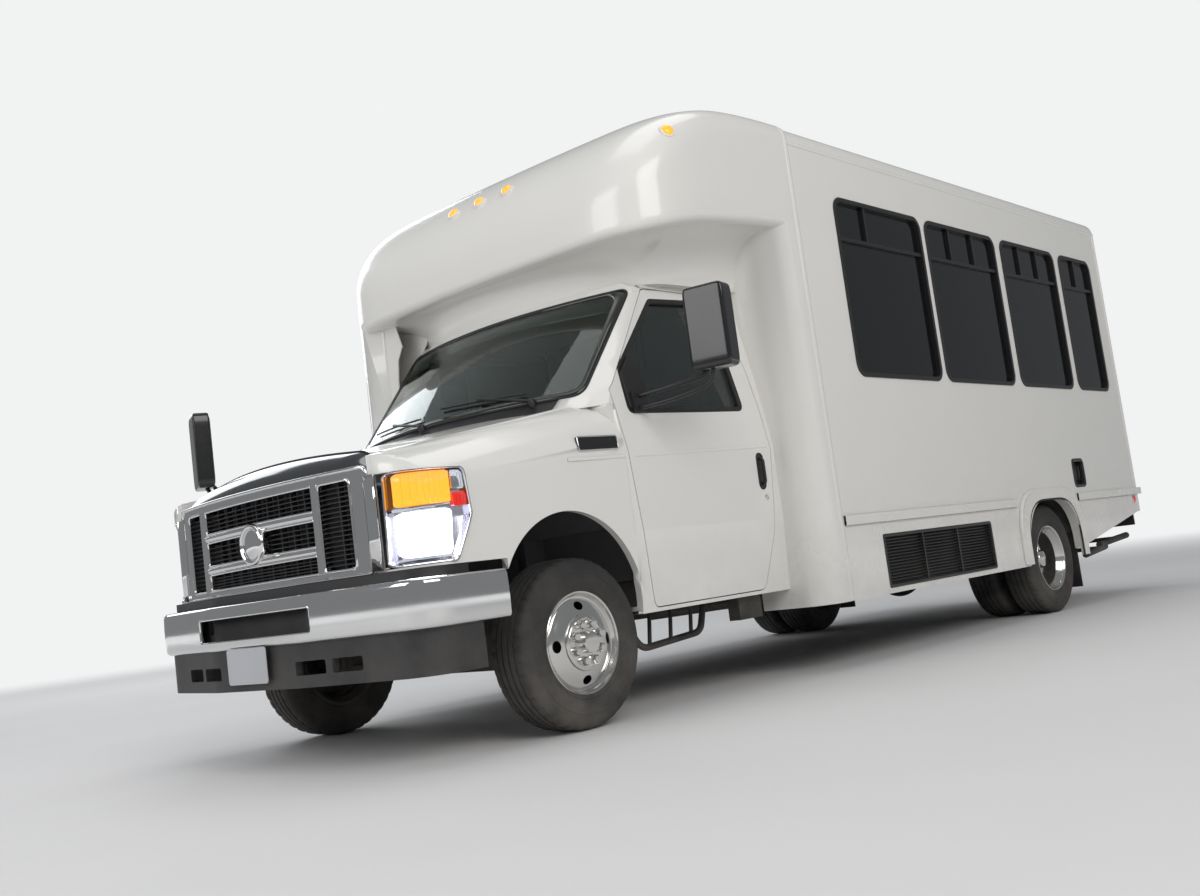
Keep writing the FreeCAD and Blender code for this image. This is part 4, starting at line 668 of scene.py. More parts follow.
FRONT_TRACK = 0.8815
DUAL_OUTER = 1.078
DUAL_INNER = DUAL_OUTER - 0.262
for side, word in SIDES:
    bm = bmesh.new()
    add_tyre(bm, wheel_centre(FRONT_AXLE, side * FRONT_TRACK), side)
    place("front_tyre_" + word, bm, tyre_rubber, "front_wheel_" + word, ("tyre_front_" + word,), smooth=32)
    bm = bmesh.new()
    for y in (DUAL_OUTER, DUAL_INNER):
        add_tyre(bm, wheel_centre(REAR_AXLE, side * y), side)
    place("rear_tyres_" + word, bm, tyre_rubber, "rear_wheels_" + word, ("tyres_rear_" + word,), smooth=32)
print("tyres", 6, "section points", 2 * len(HALF_SECTION))

# %% [markdown]
# ## Wheels with stainless liners
#
# Behind the bright liner is a steel rim. The front liner bulges out to the lug covers, and the outer rear
# liner is a deep dish, because a twin wheel's disc is turned round. The four hand holes are cut with a
# Boolean modifier, whose result is kept as a plain mesh.

# %% Rim, liner and lug covers
RIM_LIP = [(0.184, 0.050), (0.204, 0.084), (0.2210, 0.092), (0.2225, 0.0985), (0.2190, 0.1020),
           (0.2120, 0.0990), (0.2060, 0.0880), (0.1960, 0.0740), (0.1790, 0.0500)]
BARREL = [(0.205, -0.096), (0.2205, -0.098), (0.2215, -0.092), (0.206, -0.088), (0.186, -0.060),
          (0.184, 0.050), (0.1790, 0.0500), (0.1790, -0.060), (0.199, -0.086)]
FRONT_LINER = [(0.2070, 0.0900), (0.1990, 0.0800), (0.1920, 0.0790), (0.1880, 0.0830), (0.1830, 0.0845),
               (0.1700, 0.0900), (0.1560, 0.0965), (0.1400, 0.1020), (0.1260, 0.1045), (0.1215, 0.1060),
               (0.1190, 0.1130), (0.1140, 0.1160), (0.1070, 0.1165), (0.1040, 0.1190), (0.0620, 0.1200),
               (0.0480, 0.1205), (0.0465, 0.1500), (0.0430, 0.1545), (0.0300, 0.1560), (0.0, 0.1560)]
REAR_LINER = [(0.2060, 0.0900), (0.1990, 0.0700), (0.1930, 0.0300), (0.1860, -0.0200), (0.1780, -0.0440),
              (0.1640, -0.0560), (0.1460, -0.0600), (0.1240, -0.0590), (0.1180, -0.0560), (0.1150, -0.0500),
              (0.0700, -0.0480), (0.0660, -0.0440), (0.0600, 0.0250), (0.0520, 0.0380), (0.0300, 0.0430),
              (0.0, 0.0430)]
LUGS = 8
HAND_HOLES, HOLE_HALF = 4, (0.026, 0.019)
LUG_CIRCLE = 0.0826
SKIN = 0.0025


def turned_wall(profile, thickness):
    back = [(max(r - thickness * 0.3, 0.0), a - thickness) for r, a in reversed(profile)]
    return profile[:-1] + [(0.0, profile[-1][1])] + [(0.0, profile[-1][1] - thickness)] + back[1:]


def cut_holes(mesh, centre, axis, circle, plane):
    bm = bmesh.new()
    ring = [(math.cos(a) * HOLE_HALF[1], math.sin(a) * HOLE_HALF[0]) for a in turns(28)]
    for turn in turns(HAND_HOLES):
        radial = Vector((math.cos(turn), 0, math.sin(turn)))
        tangent = radial.cross(axis)
        spot = centre + radial * circle
        slab(bm, ring, lambda u, w, d: spot + radial * u + tangent * w + axis * d, plane - 0.06, plane + 0.06)
    return pierce(mesh, bm)


def add_lug_covers(bm, centre, axis, base, length, radius=0.0195):
    for i in range(LUGS):
        turn = 2 * math.pi * (i + 0.5) / LUGS
        spot = centre + Vector((math.cos(turn), 0, math.sin(turn))) * LUG_CIRCLE + axis * base
        lathe(bm, [(radius + 0.002, -0.004), (radius + 0.0015, 0.002), (radius, 0.004),
                   (radius * 0.96, length - 0.006), (radius * 0.82, length - 0.001), (0, length)],
              spot, axis, 20)


def build_wheel(name, centre, outward, liner, hole_circle, hole_plane, lug_base, lug_length, body, node_name,
                inner=None):
    axis = LEFTWARD * outward
    bm = bmesh.new()
    closed_lathe(bm, turned_wall(liner, SKIN), centre, axis, 96)
    pierced = cut_holes(closed_mesh(bm, "liner_blank"), centre, axis, hole_circle, hole_plane)
    bm = bmesh.new()
    bm.from_mesh(pierced)
    closed_lathe(bm, RIM_LIP, centre, axis, 96)
    add_lug_covers(bm, centre, axis, lug_base, lug_length)
    place(name, bm, stainless, body, (node_name,), smooth=30)
    steel = bmesh.new()
    closed_lathe(steel, BARREL, centre, axis, 72)
    if inner is None:
        closed_lathe(steel, [(0.181, -0.010), (0.150, 0.030), (0.070, 0.040), (0.070, 0.032), (0.150, 0.022),
                             (0.181, -0.018)], centre, axis, 72)
    else:
        for profile in (BARREL, RIM_LIP):
            closed_lathe(steel, [(r, -a) for r, a in profile], inner, axis, 72)
        closed_lathe(steel, [(0.181, 0.030), (0.150, 0.052), (0.070, 0.060), (0.070, 0.052), (0.150, 0.044),
                             (0.181, 0.022)], inner, axis, 72)
        closed_lathe(steel, [(0.072, -0.060), (0.072, -0.262), (0.030, -0.262), (0.030, -0.060)], centre,
                     axis, 32)
    place(name + "_steel", steel, chassis_black, body, (node_name,), smooth=30)


for side, word in SIDES:
    build_wheel("front_liner_" + word, wheel_centre(FRONT_AXLE, side * FRONT_TRACK), side, FRONT_LINER, 0.158,
                0.095, 0.119, 0.028, "front_wheel_" + word, "wheel_front_" + word)
    build_wheel("rear_liner_" + word, wheel_centre(REAR_AXLE, side * DUAL_OUTER), side, REAR_LINER, 0.147,
                -0.058, -0.049, 0.040, "rear_wheels_" + word, "wheels_rear_" + word,
                wheel_centre(REAR_AXLE, side * DUAL_INNER))
print("wheels", 4, "lug covers", 4 * LUGS)

# %% [markdown]
# ## The front end
#
# The grille frame, the header above it and the bumper all follow one bowed plan, so a few small functions
# give the place of any point on them. The frame's flat bars come from the CAD model. Half-round mouldings
# are swept over them, because plated plastic has no sharp edges and the highlights on those roundings are
# what reads as chrome.

# %% Curves of the front
BOW = 0.082 / 0.726 ** 2
GRILLE_FACE = FRONT_AXLE + 0.930


def grille_x(y, back=0.0):
    return GRILLE_FACE - BOW * y * y - back


def dense(outline, step=0.02, closed=True):
    points = []
    count = len(outline)
    for i in range(count if closed else count - 1):
        a, b = Vector(outline[i]), Vector(outline[(i + 1) % count])
        parts = max(1, int((b - a).length / step))
        points += [tuple(a.lerp(b, k / parts)) for k in range(parts)]
    if not closed:
        points.append(tuple(outline[-1]))
    return points


def ring_on(bm, outline, spot, facing, section):
    """sweeps a section along a closed outline; spot(u, w) gives the point and facing(u, w) the way out."""
    sweep(bm, [spot(u, w) for u, w in outline], section, [facing(u, w) for u, w in outline])


def grille_facing(y, z):
    return Vector((1, 2 * BOW * y, 0)).normalized()

# %% Mouldings of the grille frame
# the openings of the frame: y0, y1, z0, z1, corner radius
FIELDS = [(-0.420, 0.420, 0.796, 0.863, 0.008), (-0.420, 0.420, 0.907, 1.008, 0.008),
          (-0.420, 0.420, 1.052, 1.148, 0.008), (0.460, 0.628, 0.796, 1.148, 0.014),
          (-0.628, -0.460, 0.796, 1.148, 0.014)]
MARGIN = 0.004
trim = bmesh.new()
for y0, y1, z0, z1, radius in FIELDS:
    ring_on(trim, dense(rounded(y0 - MARGIN, y1 + MARGIN, z0 - MARGIN, z1 + MARGIN, radius + 0.006, 4)),
            lambda u, w: Vector((grille_x(u) - 0.001, u, w)), grille_facing, bead(0.013, 0.007, 0.002))
for z in (0.885, 1.030):
    path = [Vector((grille_x(y), y, z)) for y in evenly(-0.425, 0.85, 30)]
    sweep(trim, path, bead(0.030, 0.012, 0.002), [grille_facing(p.y, 0) for p in path], closed=False)
for side in (1, -1):
    path = [Vector((grille_x(0.44), side * 0.440, z)) for z in evenly(0.790, 0.364, 12)]
    sweep(trim, path, bead(0.034, 0.020, 0.002), grille_facing(side * 0.44, 0), closed=False)
outer = dense(rounded(-0.722, 0.722, 0.764, 1.190, 0.03, 5))
ring_on(trim, outer, lambda u, w: Vector((grille_x(u) - 0.001, u, w)), grille_facing,
        bead(0.016, 0.009, 0.002))
place("grille_trim", trim, plating, "root", ("grille_surround",), smooth=50)
print("grille openings", len(FIELDS))

# %% Frame below the header
HEADER_FOOT = 1.186
CHEEK_STEPS, CHEEK_WIDTH = 8, 0.062
source = welded("grille_surround")
every = source.verts[:] + source.edges[:] + source.faces[:]
bmesh.ops.bisect_plane(source, geom=every, plane_co=(0, 0, HEADER_FOOT), plane_no=(0, 0, 1), clear_outer=True)
place("grille_frame", as_mesh(source, "grille_frame"), plating, "root", ("grille_surround",), smooth=24)
for side, word in SIDES:
    cheek = bmesh.new()
    rows = []
    for y in evenly(0.716, CHEEK_WIDTH, CHEEK_STEPS):
        x = GRILLE_FACE - 0.082 + 0.006 - 0.30 * max(0.0, y - 0.752) ** 1.2
        rows.append([Vector((x, side * y, z)) for z in (0.768, 0.900, 1.040, 1.150)])
    sheet(cheek, rows)
    place("grille_cheek_" + word, cheek, plating, "root", ("grille_surround",), smooth=60, wall=-0.010 * side)
boss = bmesh.new()
BOSS = Vector((GRILLE_FACE, 0, 0.962))
lathe(boss, [(0.0, -0.02), (0.088, -0.02), (0.090, 0.010), (0.086, 0.018), (0.078, 0.021), (0.071, 0.017),
             (0.069, 0.010), (0.060, 0.012), (0.040, 0.017), (0.020, 0.020), (0, 0.021)],
      BOSS, FORWARD, 72)
place("grille_boss", boss, plating, "root", ("grille_surround",), smooth=40)

# %% Header above the grille
HEADER_STEPS, HEADER_RISE = 64, 12


def header_rows():
    rows = []
    for share in evenly(-1, 2, HEADER_STEPS):
        y = 0.716 * share
        side = abs(share)
        fall = max(0.0, (side - 0.80) / 0.20)
        crown = 1.298 - 0.033 * (side / 0.85) ** 2 - 0.094 * fall ** 2.4
        reach = 0.125 * (1 - 0.35 * fall ** 2)
        low = Vector((grille_x(y) + 0.003, y, HEADER_FOOT))
        high = Vector((grille_x(y) - reach, y * (1 - 0.022 * fall), crown))
        swell = Vector((0.014, 0, 0.013))
        row = [low + Vector((-0.030, 0, -0.004)), low + Vector((-0.006, 0, -0.002))]
        for t in evenly(0, 1, HEADER_RISE):
            row.append(low.lerp(high, t) + swell * 4 * t * (1 - t) * (1 - fall))
        row += [high + Vector((-0.006, 0, -0.004)), high + Vector((-0.007, 0, -0.030))]
        rows.append(row)
    return rows


header = bmesh.new()
rows = header_rows()
sheet(header, rows)
place("grille_header", header, smoked_plating, "root", ("grille_surround",), smooth=50, wall=0.004)
edging = bmesh.new()
top_edge = [row[-3] + Vector((-0.004, 0, 0.001)) for row in rows]
sweep(edging, top_edge, bead(0.010, 0.006, 0.004), Vector((-0.3, 0, 1)), closed=False)
place("header_seal", edging, seal_rubber, "root", smooth=50)
print("header faces", HEADER_STEPS * (HEADER_RISE + 4))

# %% [markdown]
# ## Grille mesh by Geometry Nodes
#
# Behind the bars sits a moulded mesh of thin slats and dividers. It repeats by rule, so one node tree makes
# it: a line of boxes upwards, a line of boxes across, both bent to the grille's bow by a Set Position node.
# Its named inputs are the width, the height, the counts and the bar size, so the same tree fills the wide
# fields and the narrow side slots.

# %% Mesh tree
def group_tree(name, inputs):
    tree = bpy.data.node_groups.new(name, "GeometryNodeTree")
    tree.interface.new_socket("Geometry", in_out="INPUT", socket_type="NodeSocketGeometry")
    sockets = {}
    for label, default in inputs:
        kind = "NodeSocketInt" if isinstance(default, int) else "NodeSocketFloat"
        socket = tree.interface.new_socket(label, in_out="INPUT", socket_type=kind)
        socket.default_value = default
        sockets[label] = socket.identifier
    tree.interface.new_socket("Geometry", in_out="OUTPUT", socket_type="NodeSocketGeometry")
    return tree, tree.nodes.new("NodeGroupInput"), tree.nodes.new("NodeGroupOutput"), sockets


def mathed(tree, operation, first, second=0.0, third=0.0):
    return node(tree, "ShaderNodeMath", {0: first, 1: second, 2: third}, operation=operation).outputs[0]


def vector(tree, x=0.0, y=0.0, z=0.0):
    return node(tree, "ShaderNodeCombineXYZ", {0: x, 1: y, 2: z}).outputs[0]


def repeated(tree, shape, count, start, step, **extra):
    """a line of count points, each with a copy of the shape."""
    line = node(tree, "GeometryNodeMeshLine", {"Count": count, "Start Location": start, "Offset": step})
    inputs = {"Points": line.outputs["Mesh"], "Instance": shape.outputs["Mesh"], **extra}
    return node(tree, "GeometryNodeInstanceOnPoints", inputs).outputs["Instances"]


def bar_line(tree, count, start, step, size, cuts):
    box = node(tree, "GeometryNodeMeshCube",
               {"Size": size, "Vertices X": 2, "Vertices Y": cuts, "Vertices Z": 2})
    return repeated(tree, box, count, start, step)


def paint_and_end(tree, geometry, material, result):
    painted = node(tree, "GeometryNodeSetMaterial", {"Geometry": geometry, "Material": material})
    tree.links.new(painted.outputs[0], result.inputs[0])


def build_mesh_tree(material):
    tree, given, result, sockets = group_tree("grille_mesh_bars", [
        ("Middle", 0.0), ("Width", 0.84), ("Low", 0.796), ("High", 0.863), ("Slats", 4), ("Dividers", 7),
        ("Bar", 0.005), ("Depth", 0.030), ("Face", 3.566), ("Bow", 0.155)])
    value = given.outputs
    height = mathed(tree, "SUBTRACT", value["High"], value["Low"])
    slat_gap = mathed(tree, "DIVIDE", height, mathed(tree, "ADD", value["Slats"], 1.0))
    slat_low = mathed(tree, "ADD", value["Low"], slat_gap)
    slats = bar_line(tree, value["Slats"], vector(tree, 0.0, value["Middle"], slat_low),
                     vector(tree, 0.0, 0.0, slat_gap),
                     vector(tree, value["Depth"], value["Width"], value["Bar"]), 24)
    rib_gap = mathed(tree, "DIVIDE", value["Width"], mathed(tree, "ADD", value["Dividers"], 1.0))
    rib_start = mathed(tree, "SUBTRACT", value["Middle"], mathed(tree, "MULTIPLY", value["Width"], 0.5))
    rib_start = mathed(tree, "ADD", rib_start, rib_gap)
    centre = mathed(tree, "MULTIPLY", mathed(tree, "ADD", value["Low"], value["High"]), 0.5)
    ribs = bar_line(tree, value["Dividers"], vector(tree, 0.0, rib_start, centre),
                    vector(tree, 0.0, rib_gap, 0.0), vector(tree, value["Depth"], value["Bar"], height), 2)
    both = node(tree, "GeometryNodeJoinGeometry")
    tree.links.new(slats, both.inputs[0])
    tree.links.new(ribs, both.inputs[0])
    real = node(tree, "GeometryNodeRealizeInstances", {"Geometry": both.outputs[0]})
    place_at = node(tree, "GeometryNodeInputPosition").outputs[0]
    across = node(tree, "ShaderNodeSeparateXYZ", {"Vector": place_at}).outputs["Y"]
    sag = mathed(tree, "MULTIPLY", mathed(tree, "MULTIPLY", across, across), value["Bow"])
    shift = vector(tree, mathed(tree, "SUBTRACT", value["Face"], sag))
    bent = node(tree, "GeometryNodeSetPosition", {"Geometry": real.outputs[0], "Offset": shift})
    paint_and_end(tree, bent.outputs[0], material, result)
    return tree, sockets


def grow(bm, tree, sockets, **values):
    """evaluates a tree once with the given inputs and adds its mesh to bm."""
    blank = add_object("seedling", bpy.data.meshes.new("seedling"))
    grower = blank.modifiers.new("grow", "NODES")
    grower.node_group = tree
    for label, value in values.items():
        grower[sockets[label.replace("_", " ")]] = value
    bm.from_mesh(used_up(blank))


mesh_tree, mesh_inputs = build_mesh_tree(moulded_black)
print("inputs", len(mesh_inputs))

# %% Grille insert
WIDE_BARS, NARROW_BARS = (4, 9), (17, 1)
insert = bmesh.new()
for y0, y1, z0, z1, _ in FIELDS:
    slats, dividers = WIDE_BARS if y1 - y0 > 0.5 else NARROW_BARS
    grow(insert, mesh_tree, mesh_inputs, Middle=(y0 + y1) / 2, Width=y1 - y0 + 0.01, Low=z0, High=z1,
         Slats=slats, Dividers=dividers, Bar=0.0045, Depth=0.028, Face=GRILLE_FACE - 0.040, Bow=BOW)
# a black sheet behind the mesh stands in for the dark radiator and the shade behind the grille: partly
# painted shade
back = [Vector((grille_x(y, 0.060), y, 0)) for y in evenly(-0.66, 1.32, 40)]
for inwards in (0, -0.004):
    sheet(insert, [[p + Vector((inwards, 0, z)) for p in back] for z in (0.775, 1.165)])
place("grille_insert", insert, moulded_black, "root", ("grille_mesh",), smooth=30)
print("grille bars", 3 * sum(WIDE_BARS) + 2 * sum(NARROW_BARS))

# %% [markdown]
# ## Headlamps
#
# The lamp wraps the corner of the nose on the same arc as the fender. Under one clear cover sit an amber
# turn lamp, a clear and a red-orange corner lamp, and the low beam, each a prism block of its own colour in
# a dark housing with a bright rim.

# %% Lamp corner surface
def arc_through(a, b, c):
    """the centre and radius of the circle through three points."""
    a, b, c = (Vector(p) for p in (a, b, c))
    d = 2 * (a.x * (b.y - c.y) + b.x * (c.y - a.y) + c.x * (a.y - b.y))
    ux = (a.length_squared * (b.y - c.y) + b.length_squared * (c.y - a.y)
          + c.length_squared * (a.y - b.y)) / d
    uy = (a.length_squared * (c.x - b.x) + b.length_squared * (a.x - c.x)
          + c.length_squared * (b.x - a.x)) / d
    centre = Vector((ux, uy))
    return centre, (a - centre).length


LAMP_CENTRE, LAMP_RADIUS = arc_through((0.500, 1.025), (0.775, 0.925), (0.840, 0.740))


def lamp_point(x, z, depth=0.0):
    """a point on the corner's arc, at x from the front axle; depth goes into the lamp."""
    dx = x - LAMP_CENTRE.x
    dy = math.sqrt(max(LAMP_RADIUS ** 2 - dx * dx, 1e-6))
    shrink = (LAMP_RADIUS - depth) / LAMP_RADIUS
    return Vector((FRONT_AXLE + LAMP_CENTRE.x + dx * shrink, LAMP_CENTRE.y + dy * shrink, z))


def lamp_facing(x, z):
    return (lamp_point(x, z, 0.0) - lamp_point(x, z, 0.1)).normalized()


def lamp_block(bm, corners, front, back):
    outline = dense(softened(corners, 4), 0.012)
    near = [bm.verts.new(lamp_point(x, z, front)) for x, z in outline]
    far = [bm.verts.new(lamp_point(x, z, back)) for x, z in outline]
    count = len(outline)
    bridge(bm, near, far)
    for loop in (near, far):
        middle = bm.verts.new(sum((v.co for v in loop), Vector()) / count)
        for i in range(count):
            bm.faces.new((loop[i], loop[(i + 1) % count], middle))


LAMP_OUTLINE = [(0.836, 0.772, 0.02), (0.834, 1.146, 0.02), (0.601, 1.137, 0.03), (0.584, 0.950, 0.03),
                (0.664, 0.772, 0.03)]
print("lamp arc radius", round(LAMP_RADIUS, 3))

# %% Lamp blocks
outline = dense(softened(LAMP_OUTLINE, 5), 0.012)
housing = bmesh.new()
ring_on(housing, outline, lambda u, w: lamp_point(u, w, 0.026), lamp_facing,
        [(0.003, 0.024), (-0.003, 0.024), (-0.003, -0.034), (0.003, -0.034)])
lamp_block(housing, LAMP_OUTLINE, 0.052, 0.058)
place("lamp_housing", housing, lamp_bezel, "root", ("headlamps",), smooth=30, mirror=True)
rim = bmesh.new()
ring_on(rim, outline, lambda u, w: lamp_point(u, w, 0.004), lamp_facing, bead(0.010, 0.006, 0.004))
for z0, z1, x0, x1 in ((0.985, 1.000, 0.665, 0.830), (0.790, 0.800, 0.672, 0.830)):
    lamp_block(rim, [(x0, z0, 0.003), (x1, z0, 0.003), (x1, z1, 0.003), (x0, z1, 0.003)], 0.020, 0.050)
place("lamp_rims", rim, lamp_bowl, "root", ("headlamps",), smooth=40, mirror=True)
BLOCKS = {
    "turn_lamp": (lens_amber, [(0.662, 1.004, 0.012), (0.826, 1.004, 0.012), (0.824, 1.136, 0.012),
                               (0.668, 1.130, 0.012)], 9),
    "corner_reflector": (lens_red, [(0.594, 0.985, 0.008), (0.652, 0.985, 0.008), (0.656, 1.040, 0.008),
                                    (0.598, 1.042, 0.008)], 4),
    "corner_lamp": (lamp_bowl, [(0.600, 1.052, 0.008), (0.655, 1.052, 0.008), (0.656, 1.128, 0.008),
                                (0.606, 1.126, 0.008)], 4),
    "low_beam": (beam_white,
                 [(0.676, 0.806, 0.02), (0.826, 0.806, 0.02), (0.828, 0.978, 0.02), (0.664, 0.978, 0.02)], 0),
}
for name, (material, corners, ribs) in BLOCKS.items():
    block = bmesh.new()
    lamp_block(block, corners, 0.016, 0.050)
    left, right = min(c[0] for c in corners), max(c[0] for c in corners)
    low, high = min(c[1] for c in corners) + 0.006, max(c[1] for c in corners) - 0.010
    for i in range(ribs):
        x = left + (i + 0.5) * (right - left) / ribs
        half = 0.42 * (right - left) / ribs
        lamp_block(block, [(x - half, low, 0.002), (x + half, low, 0.002), (x + half, high, 0.002),
                           (x - half, high, 0.002)], 0.012, 0.020)
    place(name, block, material, "root", ("headlamps",), smooth=30, mirror=True)
cover = bmesh.new()
lamp_block(cover, [(x + (0.004 if x < 0.7 else -0.004), z + (0.004 if z < 0.9 else -0.004), r)
                   for x, z, r in LAMP_OUTLINE], 0.002, 0.006)
place("lamp_cover", cover, lens_clear, "root", ("headlamps",), smooth=40, mirror=True)
print("lamp blocks", len(BLOCKS) * 2)

# %% [markdown]
# ## Bumper and plate
#
# The bumper is pressed from one sheet, so it is a C section swept along its plan, and the intake slot is cut
# through it with a Boolean modifier. A small bright lip runs round the slot.

# %% Bumper
BUMPER_PLAN = softened([(0.440, 1.032, 0), (0.870, 1.032, 0.2), (0.997, 0.330, 0.5), (0.997, -0.330, 0.5),
                        (0.870, -1.032, 0.2), (0.440, -1.032, 0)], 14)
BUMPER_LOW, BUMPER_HIGH = 0.522, 0.722


def plan_x(y):
    for (x0, y0), (x1, y1) in zip(BUMPER_PLAN, BUMPER_PLAN[1:]):
        if y1 <= y <= y0 and y0 > y1:
            return x0 + (x1 - x0) * (y0 - y) / (y0 - y1)
    return BUMPER_PLAN[0][0]


def bumper_section():
    middle, half = (BUMPER_LOW + BUMPER_HIGH) / 2, (BUMPER_HIGH - BUMPER_LOW) / 2
    outer = [(0.070, half), (0.030, half)]
    for i in range(7):
        turn = math.pi / 2 * i / 6
        outer.append((0.026 - 0.026 * math.sin(turn), half - 0.024 + 0.024 * math.cos(turn)))
    outer += [(-0.002, half * 0.3), (-0.002, -half * 0.3)]
    for i in range(7):
        turn = math.pi / 2 * (1 - i / 6)
        outer.append((0.026 - 0.026 * math.sin(turn), -half + 0.024 - 0.024 * math.cos(turn)))
    outer.append((0.050, -half))
    inner = [(d + 0.004, w * 0.955) for d, w in reversed(outer)]
    return middle, outer + inner


def sweep_plan(bm, plan, section, height):
    """section: (inwards, up) pairs, swept along an open plan of (x from the front axle, y)."""
    rings = []
    for i, (x, y) in enumerate(plan):
        before, after = plan[max(i - 1, 0)], plan[min(i + 1, len(plan) - 1)]
        along = Vector((after[0] - before[0], after[1] - before[1], 0)).normalized()
        inward = Vector((along.y, -along.x, 0))
        if inward.x > 0 or (abs(inward.x) < 1e-6 and inward.y * y > 0):
            inward = -inward
        rings.append([bm.verts.new(Vector((FRONT_AXLE + x, y, height + w)) + inward * d) for d, w in section])
    for first, second in zip(rings, rings[1:]):
        bridge(bm, first, second)
    bm.faces.new(rings[0])
    bm.faces.new(reversed(rings[-1]))


SLOT = rounded(-0.430, 0.430, 0.563, 0.668, 0.014, 4)
bm = bmesh.new()
middle, section = bumper_section()
sweep_plan(bm, BUMPER_PLAN, section, middle)
tool = bmesh.new()
slab(tool, SLOT, at_front(FRONT_AXLE), 0.85, 1.02)
place("front_bumper_shell", pierce(closed_mesh(bm, "bumper"), tool), plating, "root", ("front_bumper",),
      smooth=32)
lip = bmesh.new()
ring_on(lip, dense(SLOT, 0.03), lambda u, w: Vector((FRONT_AXLE + plan_x(u) - 0.003, u, w)),
        lambda u, w: FORWARD, bead(0.012, 0.006, 0.008))
place("bumper_slot_lip", lip, plating, "root", ("front_bumper",), smooth=50)
for side, word in SIDES:
    arm = bmesh.new()
    y0, y1 = sorted((side * 0.37, side * 0.43))
    brick(arm, (FRONT_AXLE + 0.78, y0, 0.672), (FRONT_AXLE + 0.960, y1, 0.700))
    place("bumper_arm_" + word, arm, chassis_black, "root", ("front_bumper",))
print("bumper plan points", len(BUMPER_PLAN))

# %% [markdown]
# ## Windshield, wipers and cowl
#
# The windshield leans back and curves about a vertical axis, so its surface is written as a function of
# width and height. The gasket, the dark border, the shade band and the wipers are all laid onto that
# function.

# %% Windshield surface
GLASS_OPENING = [(-0.820, 1.507, 0.06), (0.820, 1.507, 0.06), (0.788, 2.013, 0.07), (-0.788, 2.013, 0.07)]
GLASS_EDGE = [(-0.848, 1.480, 0.05), (0.848, 1.480, 0.05), (0.842, 2.028, 0.06), (-0.842, 2.028, 0.06)]
SHIELD = softened(GLASS_EDGE, 7)


def shield_point(y, z, out=0.0):
    share = (z - 1.485) / 0.55
    side, middle = 0.355 + share * 0.445, 0.130 + share * 0.510
    sag = (side - middle) * (1.045 / 0.850) ** 2
    radius = (1.045 ** 2 + sag * sag) / (2 * sag)
    x = FRONT_AXLE - middle - (radius - math.sqrt(radius * radius - y * y))
    return Vector((x, y, z)) + Vector((0.76, 0.25 * y, 0.62)).normalized() * out


def shield_facing(y, z):
    across = shield_point(y + 0.01, z) - shield_point(y - 0.01, z)
    upwards = shield_point(y, z + 0.01) - shield_point(y, z - 0.01)
    return across.cross(upwards).normalized()


seal = bmesh.new()
ring_on(seal, dense(SHIELD, 0.04), shield_point, shield_facing, bead(0.014, 0.006, 0.004))
place("windshield_seal", seal, seal_rubber, "root", smooth=50)
frit = bmesh.new()
inside, outside = (loop + loop[:1] for loop in (softened(GLASS_OPENING, 7), SHIELD))
for k in range(len(SHIELD)):
    steps = max(1, int((Vector(outside[k + 1]) - Vector(outside[k])).length / 0.04))
    for i in range(steps):
        corners = []
        for loop, t in ((inside, i / steps), (inside, (i + 1) / steps), (outside, (i + 1) / steps),
                        (outside, i / steps)):
            y, z = Vector(loop[k]).lerp(Vector(loop[k + 1]), t)
            corners.append(frit.verts.new(shield_point(y, z, 0.003)))
        frit.faces.new(corners)
place("windshield_border", frit, shade_film, "root", smooth=50, wall=0.005)
band = bmesh.new()
rows = []
for y in evenly(-0.78, 1.56, 40):
    rows.append([shield_point(y, 1.912 + 0.028 * (1 - (y / 0.78) ** 2) + 0.075 * k / 4, -0.010)
                 for k in range(5)])
sheet(band, rows)
place("shade_band", band, shade_film, "root", smooth=50, wall=0.002)


def on_shield(bm, ends, lift, radius):
    points = []
    for t in evenly(0, 1, 8):
        y, z = (a + (b - a) * t for a, b in zip(*ends))
        points.append(shield_point(y, z, lift))
    pipe(bm, points, radius, 8, 0.01, 2)


wipers = bmesh.new()
for pivot, tip in (((0.620, 1.500), (0.020, 1.556)), ((-0.060, 1.500), (-0.640, 1.540))):
    on_shield(wipers, (tip, (pivot[0] - 0.06, pivot[1] + 0.03)), 0.012, 0.005)
    middle_y, middle_z = (tip[0] + pivot[0]) / 2 - 0.03, (tip[1] + pivot[1]) / 2 + 0.016
    on_shield(wipers, ((pivot[0], pivot[1] - 0.022), (middle_y, middle_z)), 0.024, 0.007)
    lathe(wipers, [(0.0, -0.03), (0.018, -0.03), (0.018, 0.004), (0.012, 0.012), (0, 0.014)],
          shield_point(pivot[0], pivot[1] - 0.022, 0.016), Vector((0.4, 0, 1)), 16)
place("wipers", wipers, satin_black, "root", smooth=50)
mount = bmesh.new()
lathe(mount, [(0, -0.001), (0.022, -0.001), (0.020, 0.006), (0, 0.007)], shield_point(0.10, 1.85, -0.004),
      -shield_facing(0.10, 1.85), 24)
place("mirror_mount", mount, satin_black, "root")
print("windshield outline points", len(SHIELD))

# %% [markdown]
# ## Driver's door
#
# The door's skin curves in above the belt line, so the seal, the handle and the mouldings are laid onto
# that section. A mirror head is one box with loops near its edges under a Subdivision Surface modifier,
# which gives the soft moulded form of the housing with very few faces to place.

# %% Door surface
DOOR_SECTION = [(0.445, 0.983), (0.700, 1.000), (0.850, 1.0045), (1.190, 1.005), (1.300, 0.992),
                (1.390, 0.979), (2.025, 0.858), (2.090, 0.790)]
DOOR_WINDOW = softened([(-0.500, 1.378, 0.03), (-1.400, 1.398, 0.04), (-1.385, 1.640, 0.3),
                        (-1.285, 1.985, 0.04), (-0.885, 1.965, 0.05), (-0.505, 1.590, 0.06)], 6)


